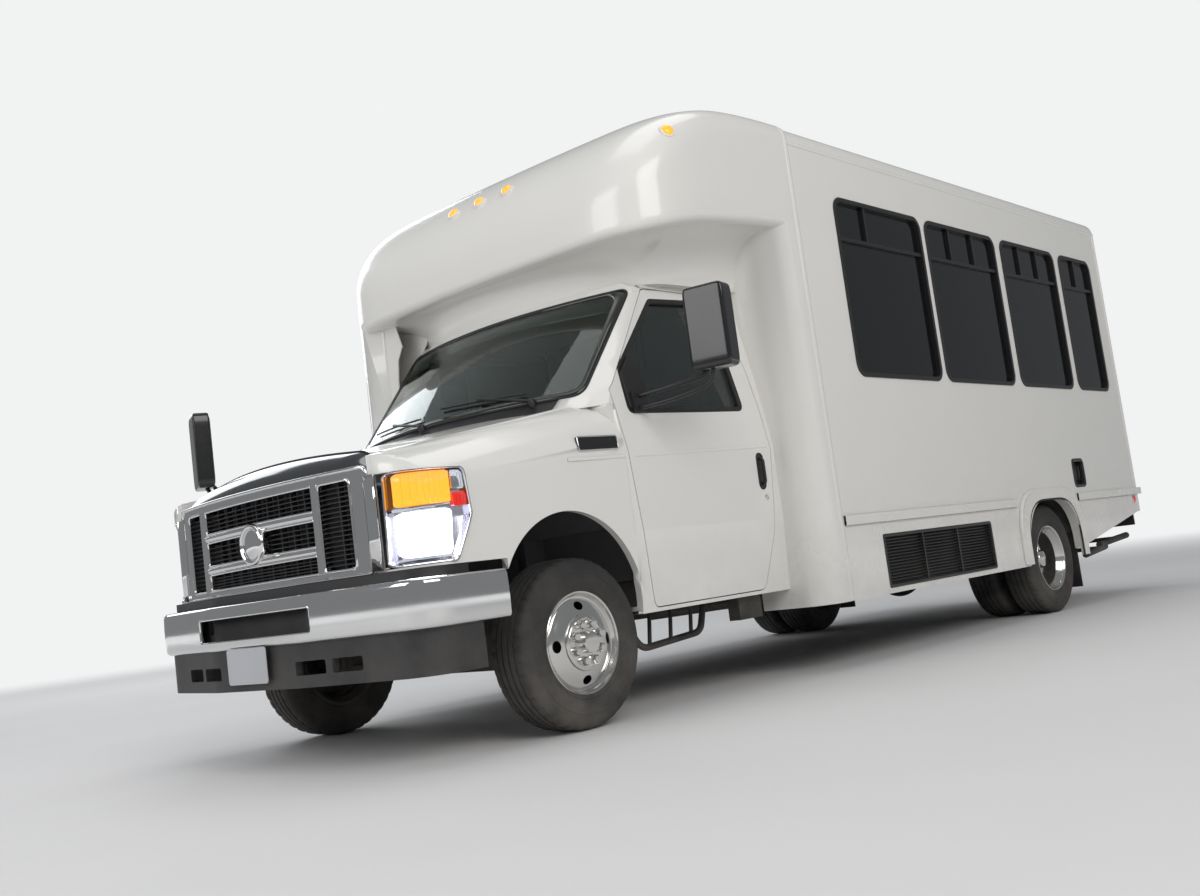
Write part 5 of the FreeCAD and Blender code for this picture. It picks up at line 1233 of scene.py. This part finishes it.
def door_y(z):
    for (z0, y0), (z1, y1) in zip(DOOR_SECTION, DOOR_SECTION[1:]):
        if z <= z1:
            return y0 + (y1 - y0) * (z - z0) / (z1 - z0)
    return DOOR_SECTION[-1][1]


def door_point(x, z, out=0.0):
    return Vector((FRONT_AXLE + x, door_y(z) + out, z))


def door_facing(x, z):
    slope = (door_y(z + 0.01) - door_y(z - 0.01)) / 0.02
    return Vector((0, 1, -slope)).normalized()


seal = bmesh.new()
ring_on(seal, dense(DOOR_WINDOW, 0.04), lambda u, w: door_point(u, w, -0.004), door_facing,
        bead(0.030, 0.006, 0.018))
sail = softened([(-0.502, 1.392, 0.02), (-0.498, 1.560, 0.03), (-0.600, 1.672, 0.03), (-0.655, 1.560, 0.05),
                 (-0.648, 1.384, 0.02)], 5)
slab(seal, sail, door_point, -0.020, 0.012)
place("door_window_seal", seal, seal_rubber, "driver_door", smooth=40, bevel=0.004)

# %% Door handle, lock and mouldings
pull = bmesh.new()
ring_on(pull, dense(rounded(-1.474, -1.422, 0.978, 1.160, 0.024, 5), 0.03), door_point, door_facing,
        bead(0.012, 0.005, 0.003))
slab(pull, rounded(-1.470, -1.426, 0.982, 1.156, 0.020, 5), door_point, -0.004, 0.0015)
pipe(pull, [door_point(-1.448, 1.135, 0.0), door_point(-1.448, 1.125, 0.020),
            door_point(-1.448, 1.010, 0.020), door_point(-1.448, 1.000, 0.0)], 0.009, 12, 0.012)
place("door_pull", pull, satin_black, "driver_door", smooth=50)
lock = bmesh.new()
lathe(lock, [(0, -0.004), (0.015, -0.004), (0.015, 0.003), (0.011, 0.005), (0.010, 0.003), (0, 0.003)],
      door_point(-1.466, 0.932), LEFTWARD, 24)
place("door_lock", lock, plating, "driver_door", smooth=40)


def belt_z(x):
    return 1.153 - 0.030 * x


def styling_line(bm, x0, x1, width=0.016, height=0.0035):
    path = [door_point(x, belt_z(x), -0.0005) for x in evenly(x0, x1 - x0, 24)]
    sweep(bm, path, bead(width, height, 0.003), LEFTWARD, closed=False)


line = bmesh.new()
styling_line(line, -0.470, -1.535)
place("door_styling_line", line, cab_paint, "driver_door", smooth=60)
line = bmesh.new()
styling_line(line, -0.020, -0.405)
place("fender_styling_line", line, cab_paint, "root", smooth=60)
badge = bmesh.new()
outline = softened([(-0.100, 1.194, 0.006), (-0.100, 1.256, 0.006), (-0.360, 1.262, 0.006),
                    (-0.360, 1.202, 0.006)], 3)
slab(badge, outline, door_point, -0.012, 0.003)
place("fender_plaque", badge, satin_black, "root", bevel=0.0012)
rim = bmesh.new()
ring_on(rim, dense(outline, 0.03), lambda u, w: door_point(u, w, 0.002), door_facing,
        bead(0.006, 0.003, 0.001))
place("fender_plaque_rim", rim, plating, "root", smooth=50)
rail = bmesh.new()
for z, radius in ((2.052, 0.007), (2.040, 0.004)):
    path = [door_point(x, z, 0.004) for x in evenly(-0.86, -0.50, 10)]
    sweep(rail, path, bead(radius * 2, radius, 0.004), Vector((0, 1, 0.3)), closed=False)
place("drip_rail", rail, cab_paint, "driver_door", smooth=60)
strip = bmesh.new()
brick(strip, (FRONT_AXLE - 1.470, 0.930, 0.447), (FRONT_AXLE - 0.385, 0.978, 0.460))
place("sill_strip", strip, plating, "root", bevel=0.003)
print("door trim placed")

# %% Mirrors
def soft_box(bm, centre, size, twist=0.0, inset=0.22, lean=0.0):
    """a box with loops near its edges; a Subdivision Surface modifier rounds it."""
    turn = Matrix.Rotation(twist, 3, "Z") @ Matrix.Rotation(lean, 3, "Y")
    steps = (-1.0, -1.0 + inset, 0.0, 1.0 - inset, 1.0)
    half = Vector(size) / 2
    cache = {}

    def corner(i, j, k):
        key = (i, j, k)
        if key not in cache:
            spot = Vector((steps[i] * half.x, steps[j] * half.y, steps[k] * half.z))
            cache[key] = bm.verts.new(Vector(centre) + turn @ spot)
        return cache[key]

    last = len(steps) - 1
    for i in range(last):
        for j in range(last):
            for k in (0, last):
                for order in (lambda p, q: (k, p, q), lambda p, q: (p, k, q), lambda p, q: (p, q, k)):
                    quad = [corner(*order(p, q)) for p, q in ((i, j), (i + 1, j), (i + 1, j + 1), (i, j + 1))]
                    if bm.faces.get(quad) is None:
                        bm.faces.new(quad)


def mirror_head(name, body, node_name, centre, size, twist, arms, radius, foot):
    housing = bmesh.new()
    soft_box(housing, centre, size, twist, 0.35)
    place(name + "_housing", housing, gloss_black, body, (node_name,), smooth=80, subdivide=3)
    turn = Matrix.Rotation(twist, 3, "Z")
    face = Vector(centre) + turn @ Vector((-size[0] / 2 + 0.006, 0, 0))
    back = turn @ BACKWARD
    across = turn @ LEFTWARD
    glass_piece, frame_piece = bmesh.new(), bmesh.new()
    half_w, half_h = size[1] / 2 - 0.022, size[2] / 2 - 0.024
    slab(glass_piece, rounded(-half_w, half_w, -half_h, half_h, 0.035, 6),
         lambda u, w, d: face + across * u + Vector((0, 0, w)) + back * d, -0.004, 0.005)
    place(name + "_glass", glass_piece, mirror_silver, body, (node_name,), smooth=30)
    ring_on(frame_piece, dense(rounded(-half_w, half_w, -half_h, half_h, 0.035, 6), 0.04),
            lambda u, w: face + across * u + Vector((0, 0, w)) + back * 0.003, lambda u, w: back,
            bead(0.014, 0.006, 0.008))
    for path in arms:
        pipe(frame_piece, [Vector(p) for p in path], radius, 14, 0.06, 6)
    for low, high in foot:
        brick(frame_piece, low, high)
    place(name + "_arms", frame_piece, satin_black, body, (node_name,), smooth=50)


F = FRONT_AXLE
mirror_head("mirror_left", "driver_door", "mirror_left", (F - 0.672, 1.384, 1.697),
            (0.108, 0.206, 0.388), 0.20,
            [[(F - 0.560, 0.975, 1.392), (F - 0.590, 1.170, 1.400), (F - 0.664, 1.350, 1.440),
              (F - 0.672, 1.380, 1.540)],
             [(F - 0.560, 0.965, 1.448), (F - 0.600, 1.180, 1.462), (F - 0.670, 1.326, 1.486),
              (F - 0.682, 1.366, 1.560)]],
            0.011, [((F - 0.606, 0.955, 1.372), (F - 0.520, 0.998, 1.470))])
mirror_head("mirror_right", "root", "mirror_right", (F + 0.340, -1.376, 1.580), (0.090, 0.222, 0.410), -0.41,
            [[(F + 0.170, -1.000, 1.130), (F + 0.220, -1.240, 1.230), (F + 0.322, -1.372, 1.420)],
             [(F + 0.270, -1.000, 1.130), (F + 0.320, -1.240, 1.230), (F + 0.356, -1.372, 1.420)]],
            0.011, [((F + 0.132, -1.022, 1.092), (F + 0.308, -0.998, 1.168))])
print("mirrors", 2)

# %% [markdown]
# ## Panels between cab and cap
#
# Two panels close the corner between the kerb-side pillar and the cap, and each pillar has a foot that runs
# down to the fender. They are flat enough to be drawn as slabs on an outline.

# %% Closing panels
closing = bmesh.new()
KERB_GAP = [(-0.985, 1.380), (-0.930, 1.560), (-0.880, 1.800), (-0.848, 2.020), (-0.800, 2.090),
            (-0.850, 2.250), (-0.985, 2.280)]
slab(closing, KERB_GAP, at_front(FRONT_AXLE - 0.664), 0.0, 0.010)
UNDER_CAP = [(-1.090, 1.800), (-0.860, 1.800), (-0.812, 2.030), (-0.752, 2.090), (-0.700, 2.160),
             (-0.780, 2.300), (-1.090, 2.320)]
slab(closing, UNDER_CAP, at_front(FRONT_AXLE - 0.800), 0.0, 0.010)
place("kerb_closing_panel", closing, gelcoat, "root", bevel=0.002)
foot = bmesh.new()
slab(foot, [(FRONT_AXLE - 0.398, 1.300), (FRONT_AXLE - 0.346, 1.404), (FRONT_AXLE - 0.352, 1.418),
            (FRONT_AXLE - 0.398, 1.418)], at_side(0.0), 0.80, 0.972)
place("pillar_foot", foot, cab_paint, "root", bevel=0.002, mirror=True)
print("closing panels", 2, "pillar feet", 2)

# %% [markdown]
# ## Body trim
#
# The box body is flat panels joined by mouldings: a bead over the seam between cap and body, a bead under
# the roof's edge, and covered corners at the rear. Each is a section swept along its joint.

# %% Mouldings
HALF_ROOF = softened([(HALF_WIDTH, 0.345, 0), (HALF_WIDTH, 2.948, 0.112), (0.0, 2.962, 4.0)], 10)[:-11]
roof_line = HALF_ROOF + [(y, 2.9505 + 0.0115 * (1 - y ** 2)) for y in evenly(1.0, -2.0, 12)]
roof_line += [(-y, z) for y, z in reversed(HALF_ROOF)]


def hoop(bm, x, width, height, low):
    path = [Vector((x, y, max(z, low))) for y, z in roof_line]
    facing = []
    for i, p in enumerate(path):
        out = heading(path, i).cross(FORWARD)
        if out.dot(Vector((0, p.y, p.z - 1.5))) < 0:
            out = -out
        facing.append(out)
    sweep(bm, path, bead(width, height, 0.002), facing, closed=False)


trim = bmesh.new()
hoop(trim, SEAM - 0.004, 0.036, 0.0045, 0.345)
for side in (1, -1):
    path = [Vector((x, side * HALF_WIDTH, 2.833)) for x in evenly(SEAM - 0.02, BODY_REAR - (SEAM - 0.02), 20)]
    sweep(trim, path, bead(0.024, 0.006, 0.002), LEFTWARD * side, closed=False)
    path = [Vector((BODY_REAR + 0.016, side * HALF_WIDTH, z)) for z in evenly(0.605, 2.21, 10)]
    sweep(trim, path, bead(0.032, 0.006, 0.002), LEFTWARD * side, closed=False)
place("body_mouldings", trim, gelcoat, "root", smooth=60)

rail = bmesh.new()
for x0, x1 in ((REAR_AXLE + 0.514, SEAM - 0.03), (BODY_REAR - 0.054, REAR_AXLE - 0.514)):
    path = [Vector((x, HALF_WIDTH - 0.001, 0.7615)) for x in evenly(x0, x1 - x0, 8)]
    section = [(0.0255, 0.0), (0.0255, 0.009), (0.020, 0.0135), (0.008, 0.0142), (0.004, 0.0110),
               (-0.004, 0.0110), (-0.008, 0.0142), (-0.020, 0.0135), (-0.0255, 0.009), (-0.0255, 0.0)]
    sweep(rail, path, section, LEFTWARD, closed=False)
place("rub_rails", rail, gelcoat, "root", ("side_rails",), smooth=35, mirror=True)
print("mouldings placed")

# %% Wheel flare edging
def arch(half, top, low, radius, steps=10):
    return softened([(REAR_AXLE - half, low, 0), (REAR_AXLE - half, top, radius),
                     (REAR_AXLE + half, top, radius), (REAR_AXLE + half, low, 0)], steps)


edge = bmesh.new()
inner = dense(arch(0.426, 0.764, 0.352, 0.300), 0.04, closed=False)
sweep(edge, [Vector((x, HALF_WIDTH + 0.024, z)) for x, z in inner], bead(0.014, 0.004, 0.006),
      LEFTWARD, closed=False)
place("arch_edging", edge, seal_rubber, "root", smooth=50, mirror=True)
outer = bmesh.new()
path = dense(arch(0.512, 0.830, 0.354, 0.300), 0.04, closed=False)
sweep(outer, [Vector((x, HALF_WIDTH + 0.012, z)) for x, z in path], bead(0.024, 0.012, 0.01),
      LEFTWARD, closed=False)
place("arch_rolled_edge", outer, gelcoat, "root", smooth=60, mirror=True)

# %% Wheelhouse liners
liner = bmesh.new()
rows = []
for x, z in dense(arch(0.455, 0.782, 0.40, 0.300), 0.05, closed=False):
    rows.append([Vector((x, y, z)) for y in (0.64, 0.82, 1.0, 1.178)])
sheet(liner, rows)
place("rear_wheelhouses", liner, chassis_black, "root", smooth=40, mirror=True, wall=0.003)
print("arches edged")

# %% [markdown]
# ## Louvres and screws by Geometry Nodes
#
# The condenser grille is a row of tilted louvres, and the rub rails are held on by evenly spaced screws.
# Two trees make them: one stands a louvre blade on a line of points, and the other puts a screw head on
# every point of a straight run. Count, spacing and size are inputs, so one tree serves every run.

# %% Louvre and screw trees
def build_louvre_tree(material):
    tree, given, result, sockets = group_tree("louvres", [
        ("Left", 0.0), ("Length", 1.3), ("Low", 0.39), ("High", 0.64), ("Count", 13), ("Face", 1.205),
        ("Blade", 0.016), ("Tilt", 0.7)])
    value = given.outputs
    gap = mathed(tree, "DIVIDE", mathed(tree, "SUBTRACT", value["High"], value["Low"]), value["Count"])
    start = mathed(tree, "ADD", value["Low"], mathed(tree, "MULTIPLY", gap, 0.5))
    middle = mathed(tree, "ADD", value["Left"], mathed(tree, "MULTIPLY", value["Length"], 0.5))
    box = node(tree, "GeometryNodeMeshCube", {"Size": vector(tree, value["Length"], value["Blade"], 0.0022)})
    turned = repeated(tree, box, value["Count"], vector(tree, middle, value["Face"], start),
                      vector(tree, 0.0, 0.0, gap),
                      Rotation=vector(tree, mathed(tree, "MULTIPLY", value["Tilt"], -1.0)))
    real = node(tree, "GeometryNodeRealizeInstances", {"Geometry": turned})
    paint_and_end(tree, real.outputs[0], material, result)
    return tree, sockets


def build_screw_tree(material):
    tree, given, result, sockets = group_tree("screw_run", [
        ("Start X", 0.0), ("Start Z", 0.0), ("Run X", 1.0), ("Run Z", 0.0), ("Count", 10), ("Side", 1.219),
        ("Head", 0.006)])
    value = given.outputs
    gaps = mathed(tree, "SUBTRACT", value["Count"], 1.0)
    start = vector(tree, value["Start X"], value["Side"], value["Start Z"])
    step = vector(tree, mathed(tree, "DIVIDE", value["Run X"], gaps), 0.0,
                  mathed(tree, "DIVIDE", value["Run Z"], gaps))
    ball = node(tree, "GeometryNodeMeshUVSphere", {"Segments": 10, "Rings": 6, "Radius": value["Head"]})
    heads = repeated(tree, ball, value["Count"], start, step, Scale=vector(tree, 1.0, 0.45, 1.0))
    real = node(tree, "GeometryNodeRealizeInstances", {"Geometry": heads})
    paint_and_end(tree, real.outputs[0], material, result)
    return tree, sockets


LOUVRES = 15
louvre_tree, louvre_inputs = build_louvre_tree(satin_black)
panel = bmesh.new()
x0, x1, z0, z1 = SEAM - 1.740, SEAM - 0.400, 0.370, 0.667
grow(panel, louvre_tree, louvre_inputs, Left=x0 + 0.018, Length=x1 - x0 - 0.036, Low=z0 + 0.018,
     High=z1 - 0.018, Count=LOUVRES, Face=1.209, Blade=0.018, Tilt=0.6)
slab(panel, rounded(x0 + 0.002, x1 - 0.002, z0 + 0.002, z1 - 0.002, 0.010, 3), at_side(HALF_WIDTH), -0.024,
     -0.020)
ring_on(panel, dense(rounded(x0 + 0.009, x1 - 0.009, z0 + 0.009, z1 - 0.009, 0.010, 3), 0.2),
        lambda u, w: Vector((u, HALF_WIDTH - 0.002, w)), lambda u, w: LEFTWARD,
        bead(0.020, 0.008, 0.018))
for x in (x0 + 0.46, x0 + 0.89):
    brick(panel, (x - 0.006, 1.2, z0 + 0.01), (x + 0.006, 1.2185, z1 - 0.01))
place("condenser_grille", panel, satin_black, "root", ("side_fittings",), smooth=35)
screw_tree, screw_inputs = build_screw_tree(stainless)
screws = bmesh.new()
RUNS = [(REAR_AXLE + 0.56, 0.7615, SEAM - 0.08 - REAR_AXLE - 0.56, 0.0, 12, 0.0105),
        (REAR_AXLE - 0.56, 0.7615, -1.10, 0.0, 6, 0.0105)]
for x, z, run_x, run_z, count, proud in RUNS:
    for side in (1, -1):
        grow(screws, screw_tree, screw_inputs, Start_X=x, Start_Z=z, Run_X=run_x, Run_Z=run_z, Count=count,
             Side=side * (HALF_WIDTH + proud), Head=0.0055)
place("rail_screws", screws, stainless, "root", smooth=60)
print("louvres", LOUVRES, "screw runs", 2 * len(RUNS))

# %% Filler recess
filler = bmesh.new()
x0, x1, z0, z1 = SEAM - 3.390, SEAM - 3.180, 0.830, 1.036
ring_on(filler, dense(rounded(x0 + 0.010, x1 - 0.010, z0 + 0.010, z1 - 0.010, 0.028, 6), 0.04),
        lambda u, w: Vector((u, HALF_WIDTH, w)), lambda u, w: LEFTWARD, bead(0.024, 0.006, 0.024))
slab(filler, rounded(x0 + 0.004, x1 - 0.004, z0 + 0.004, z1 - 0.004, 0.026, 6), at_side(HALF_WIDTH), -0.040,
     -0.034)
middle = Vector(((x0 + x1) / 2, HALF_WIDTH - 0.034, (z0 + z1) / 2))
lathe(filler, [(0, 0), (0.056, 0.0), (0.056, 0.012), (0.050, 0.020), (0.036, 0.024), (0, 0.025)], middle,
      LEFTWARD, 40)
brick(filler, tuple(middle + Vector((-0.006, 0.02, -0.046))), tuple(middle + Vector((0.006, 0.033, 0.046))))
place("fuel_filler", filler, satin_black, "root", ("side_fittings",), smooth=40)

# %% [markdown]
# ## Lamps of the body
#
# Marker and rear lamps are small domes on a base ring. One turned profile serves them all, with the lens
# and the ring as separate pieces so that each keeps its own material.

# %% Marker lamps
CAP_LAMPS = [((-0.646, -0.215, 2.705), (0.72, 0.0, 0.69)), ((-0.644, 0.0, 2.705), (0.72, 0.0, 0.69)),
             ((-0.646, 0.215, 2.705), (0.72, 0.0, 0.69)), ((-0.827, 1.173, 2.732), (0.35, 0.85, 0.40)),
             ((-0.827, -1.173, 2.732), (0.35, -0.85, 0.40))]


def dome(bm, centre, axis, radius, height):
    profile = [(radius, -0.004), (radius, height * 0.15), (radius * 0.92, height * 0.5),
               (radius * 0.70, height * 0.80), (radius * 0.38, height * 0.96), (0, height)]
    lathe(bm, profile, Vector(centre), Vector(axis), 28)


lenses, rings = bmesh.new(), bmesh.new()
for (x, y, z), axis in CAP_LAMPS:
    spot = Vector((FRONT_AXLE + x, y, z))
    dome(lenses, spot + Vector(axis).normalized() * 0.004, axis, 0.031, 0.017)
    lathe(rings, [(0.031, -0.006), (0.041, -0.006), (0.040, 0.004), (0.031, 0.006)], spot, Vector(axis), 28)
place("cap_lamps", lenses, lens_amber, "root", ("marker_lamps",), smooth=60)
place("cap_lamp_rings", rings, gelcoat, "root", ("marker_lamps",), smooth=40)
print("cap lamps", len(CAP_LAMPS))

# %% [markdown]
# ## Head panels
#
# The roof's arch leaves a low gap over the rear wall, and a cover panel sits above the entry door. The
# filler of the gap takes its outline from the same roof line as the mouldings, a little way in.

# %% Head filler and header panel
head = bmesh.new()
under_roof = [(y * 0.990, z - 0.012) for y, z in roof_line if z > 2.790]
slab(head, [(0.990 * HALF_WIDTH, 2.760)] + under_roof + [(-0.990 * HALF_WIDTH, 2.760)],
     at_front(BODY_REAR + 0.001), 0.0, 0.034)
place("rear_head_filler", head, gelcoat, "root")
header = bmesh.new()
slab(header, rounded(FRONT_AXLE - 1.770, FRONT_AXLE - 0.745, 2.165, 2.475, 0.030, 6), at_side(-HALF_WIDTH),
     -0.004, 0.024)
place("entry_header_panel", header, gelcoat, "root", bevel=0.003)
print("head panels", 2)

# %% Rear lamps
LAMP_INSET = 0.130
red, rims, amber, white = bmesh.new(), bmesh.new(), bmesh.new(), bmesh.new()
for side in (1, -1):
    for z, lens in ((0.930, white), (1.090, red), (1.250, amber)):
        spot = Vector((BODY_REAR + 0.004, side * (HALF_WIDTH - LAMP_INSET), z))
        dome(lens, spot, BACKWARD, 0.052, 0.024)
        lathe(rims, [(0.052, -0.004), (0.064, -0.004), (0.062, 0.010), (0.052, 0.012)], spot, BACKWARD, 36)
    dome(red, (BODY_REAR + 0.004, side * (HALF_WIDTH - LAMP_INSET), 2.700), BACKWARD, 0.030, 0.020)
    spot = Vector((FRONT_AXLE - 6.090, side * HALF_WIDTH, 0.698))
    dome(red, spot, LEFTWARD * side, 0.024, 0.014)
    lathe(rims, [(0.024, -0.004), (0.032, -0.004), (0.031, 0.005), (0.024, 0.006)], spot,
          LEFTWARD * side, 28)
for y in (-0.152, 0.0, 0.152):
    dome(red, (BODY_REAR + 0.004, y, 2.720), BACKWARD, 0.024, 0.016)
place("rear_red_lamps", red, lens_red, "root", ("tail_lamps",), smooth=60)
place("rear_amber_lamps", amber, lens_amber, "root", ("tail_lamps",), smooth=60)
place("rear_white_lamps", white, lens_clear, "root", ("tail_lamps",), smooth=60)
place("rear_lamp_rims", rims, plating, "root", ("tail_lamps",), smooth=40)
print("rear and side lamps", 6 + 2 + 2 + 3)

# %% Rear end
seal = bmesh.new()
ring_on(seal, dense(rounded(-0.3995, 0.3995, 0.8305, 2.3595, 0.058, 6), 0.06),
        lambda u, w: Vector((BODY_REAR - 0.001, u, w)), lambda u, w: BACKWARD, bead(0.020, 0.006, 0.010))
ring_on(seal, dense(rounded(-0.310, 0.310, 1.560, 2.270, 0.058, 6), 0.06),
        lambda u, w: Vector((BODY_REAR, u, w)), lambda u, w: BACKWARD, bead(0.026, 0.006, 0.012))
place("rear_door_seal", seal, seal_rubber, "rear_door", smooth=50)
under = bmesh.new()
for z0, z1, x0, x1 in ((0.392, 0.428, -5.55, -6.13), (0.338, 0.372, -5.26, -5.66)):
    pipe(under, [Vector((FRONT_AXLE + x0, 1.100, z0)), Vector((FRONT_AXLE + x1, 1.100, z1))], 0.024, 14)
brick(under, (FRONT_AXLE - 6.05, 0.42, 0.40), (FRONT_AXLE - 5.99, 1.10, 0.43))
brick(under, (FRONT_AXLE - 5.62, 0.42, 0.35), (FRONT_AXLE - 5.56, 1.10, 0.38))
place("rear_under_bars", under, chassis_black, "root", smooth=50)
hanger = bmesh.new()
brick(hanger, (FRONT_AXLE - 1.390, 0.860, 0.330), (FRONT_AXLE - 1.200, 0.930, 0.480))
brick(hanger, (FRONT_AXLE - 1.340, 0.360, 0.440), (FRONT_AXLE - 1.250, 0.880, 0.500))
pipe(hanger, [Vector((FRONT_AXLE - 0.52, 0.74, 0.43)), Vector((FRONT_AXLE - 0.62, 0.76, 0.27)),
              Vector((FRONT_AXLE - 1.08, 0.76, 0.30)), Vector((FRONT_AXLE - 1.18, 0.72, 0.44))], 0.017, 12,
              0.05)
for x in (-0.68, -0.84, -1.00):
    pipe(hanger, [Vector((FRONT_AXLE + x, 0.76, 0.285)), Vector((FRONT_AXLE + x - 0.05, 0.74, 0.44))], 0.010,
         10)
place("body_hangers", hanger, chassis_black, "root", smooth=50)
print("rear end trimmed")

# %% [markdown]
# ## Seats
#
# Seat cushions are soft goods. Each is a box with edge loops under a Subdivision Surface modifier, so it
# swells between tight edges as foam under cloth does. A saloon seat is two places on one frame with legs on
# the aisle side, and five rows of them stand on each side.

# %% Saloon seats
SEAT_FLOOR = 0.805
SEAT_OUTER = HALF_WIDTH - 0.060
PLACE_WIDTH = 0.435
ROWS, ROW_PITCH, FIRST_ROW = 5, 0.760, SEAM - 0.620
CUSHION = (0.450, PLACE_WIDTH - 0.004, 0.128)
BACKREST = (0.110, PLACE_WIDTH - 0.004, 0.660)
LEAN = math.radians(-8.5)
cloth, frames = bmesh.new(), bmesh.new()
for row in range(ROWS):
    front = FIRST_ROW - ROW_PITCH * row
    for side in (1, -1):
        for place_at in (0, 1):
            y = side * (SEAT_OUTER - PLACE_WIDTH * (place_at + 0.5))
            soft_box(cloth, (front - 0.225, y, SEAT_FLOOR + 0.392), CUSHION, inset=0.30)
            soft_box(cloth, (front - 0.436, y, SEAT_FLOOR + 0.735), BACKREST, inset=0.24, lean=LEAN)
        y0, y1 = sorted((side * (SEAT_OUTER - 0.03), side * (SEAT_OUTER - 2 * PLACE_WIDTH + 0.03)))
        brick(frames, (front - 0.400, y0, SEAT_FLOOR + 0.310), (front - 0.040, y1, SEAT_FLOOR + 0.336))
        leg = side * (SEAT_OUTER - 2 * PLACE_WIDTH + 0.06)
        for x in (front - 0.360, front - 0.090):
            pipe(frames, [Vector((x, leg, SEAT_FLOOR)), Vector((x, leg, SEAT_FLOOR + 0.320))], 0.019, 12)
        brick(frames, (front - 0.380, leg - 0.025, SEAT_FLOOR),
              (front - 0.070, leg + 0.025, SEAT_FLOOR + 0.012))
        middle = side * (SEAT_OUTER - PLACE_WIDTH)
        grab = [Vector((front - back, middle + reach, SEAT_FLOOR + rise)) for back, reach, rise in (
            (0.525, -0.33, 1.010), (0.545, -0.30, 1.085), (0.545, 0.30, 1.085), (0.525, 0.33, 1.010))]
        pipe(frames, grab, 0.012, 10, 0.03)
place("saloon_cushions", cloth, seat_cloth, "root", ("passenger_seats",), smooth=80, subdivide=2)
place("saloon_seat_frames", frames, satin_black, "root", ("passenger_seats",), smooth=40)

# %% Driver's seat
DRIVER_Y = 0.440
DRIVER_LEAN = math.radians(-9)
cloth, frames = bmesh.new(), bmesh.new()
soft_box(cloth, (FRONT_AXLE - 1.195, DRIVER_Y, 1.060), (0.480, 0.500, 0.115), inset=0.28)
for side in (1, -1):
    soft_box(cloth, (FRONT_AXLE - 1.195, DRIVER_Y + side * 0.215, 1.075), (0.440, 0.080, 0.120), inset=0.35)
    soft_box(cloth, (FRONT_AXLE - 1.390, DRIVER_Y + side * 0.195, 1.400), (0.120, 0.080, 0.560), inset=0.3,
             lean=DRIVER_LEAN)
soft_box(cloth, (FRONT_AXLE - 1.395, DRIVER_Y, 1.400), (0.110, 0.470, 0.680), inset=0.24, lean=DRIVER_LEAN)
place("driver_cushions", cloth, seat_cloth, "root", ("driver_seat",), smooth=80, subdivide=2)
brick(frames, (FRONT_AXLE - 1.400, 0.260, 0.640), (FRONT_AXLE - 1.010, 0.620, 1.012))
place("driver_seat_base", frames, satin_black, "root", ("driver_seat",), bevel=0.008)
print("seat places", ROWS * 4 + 1)
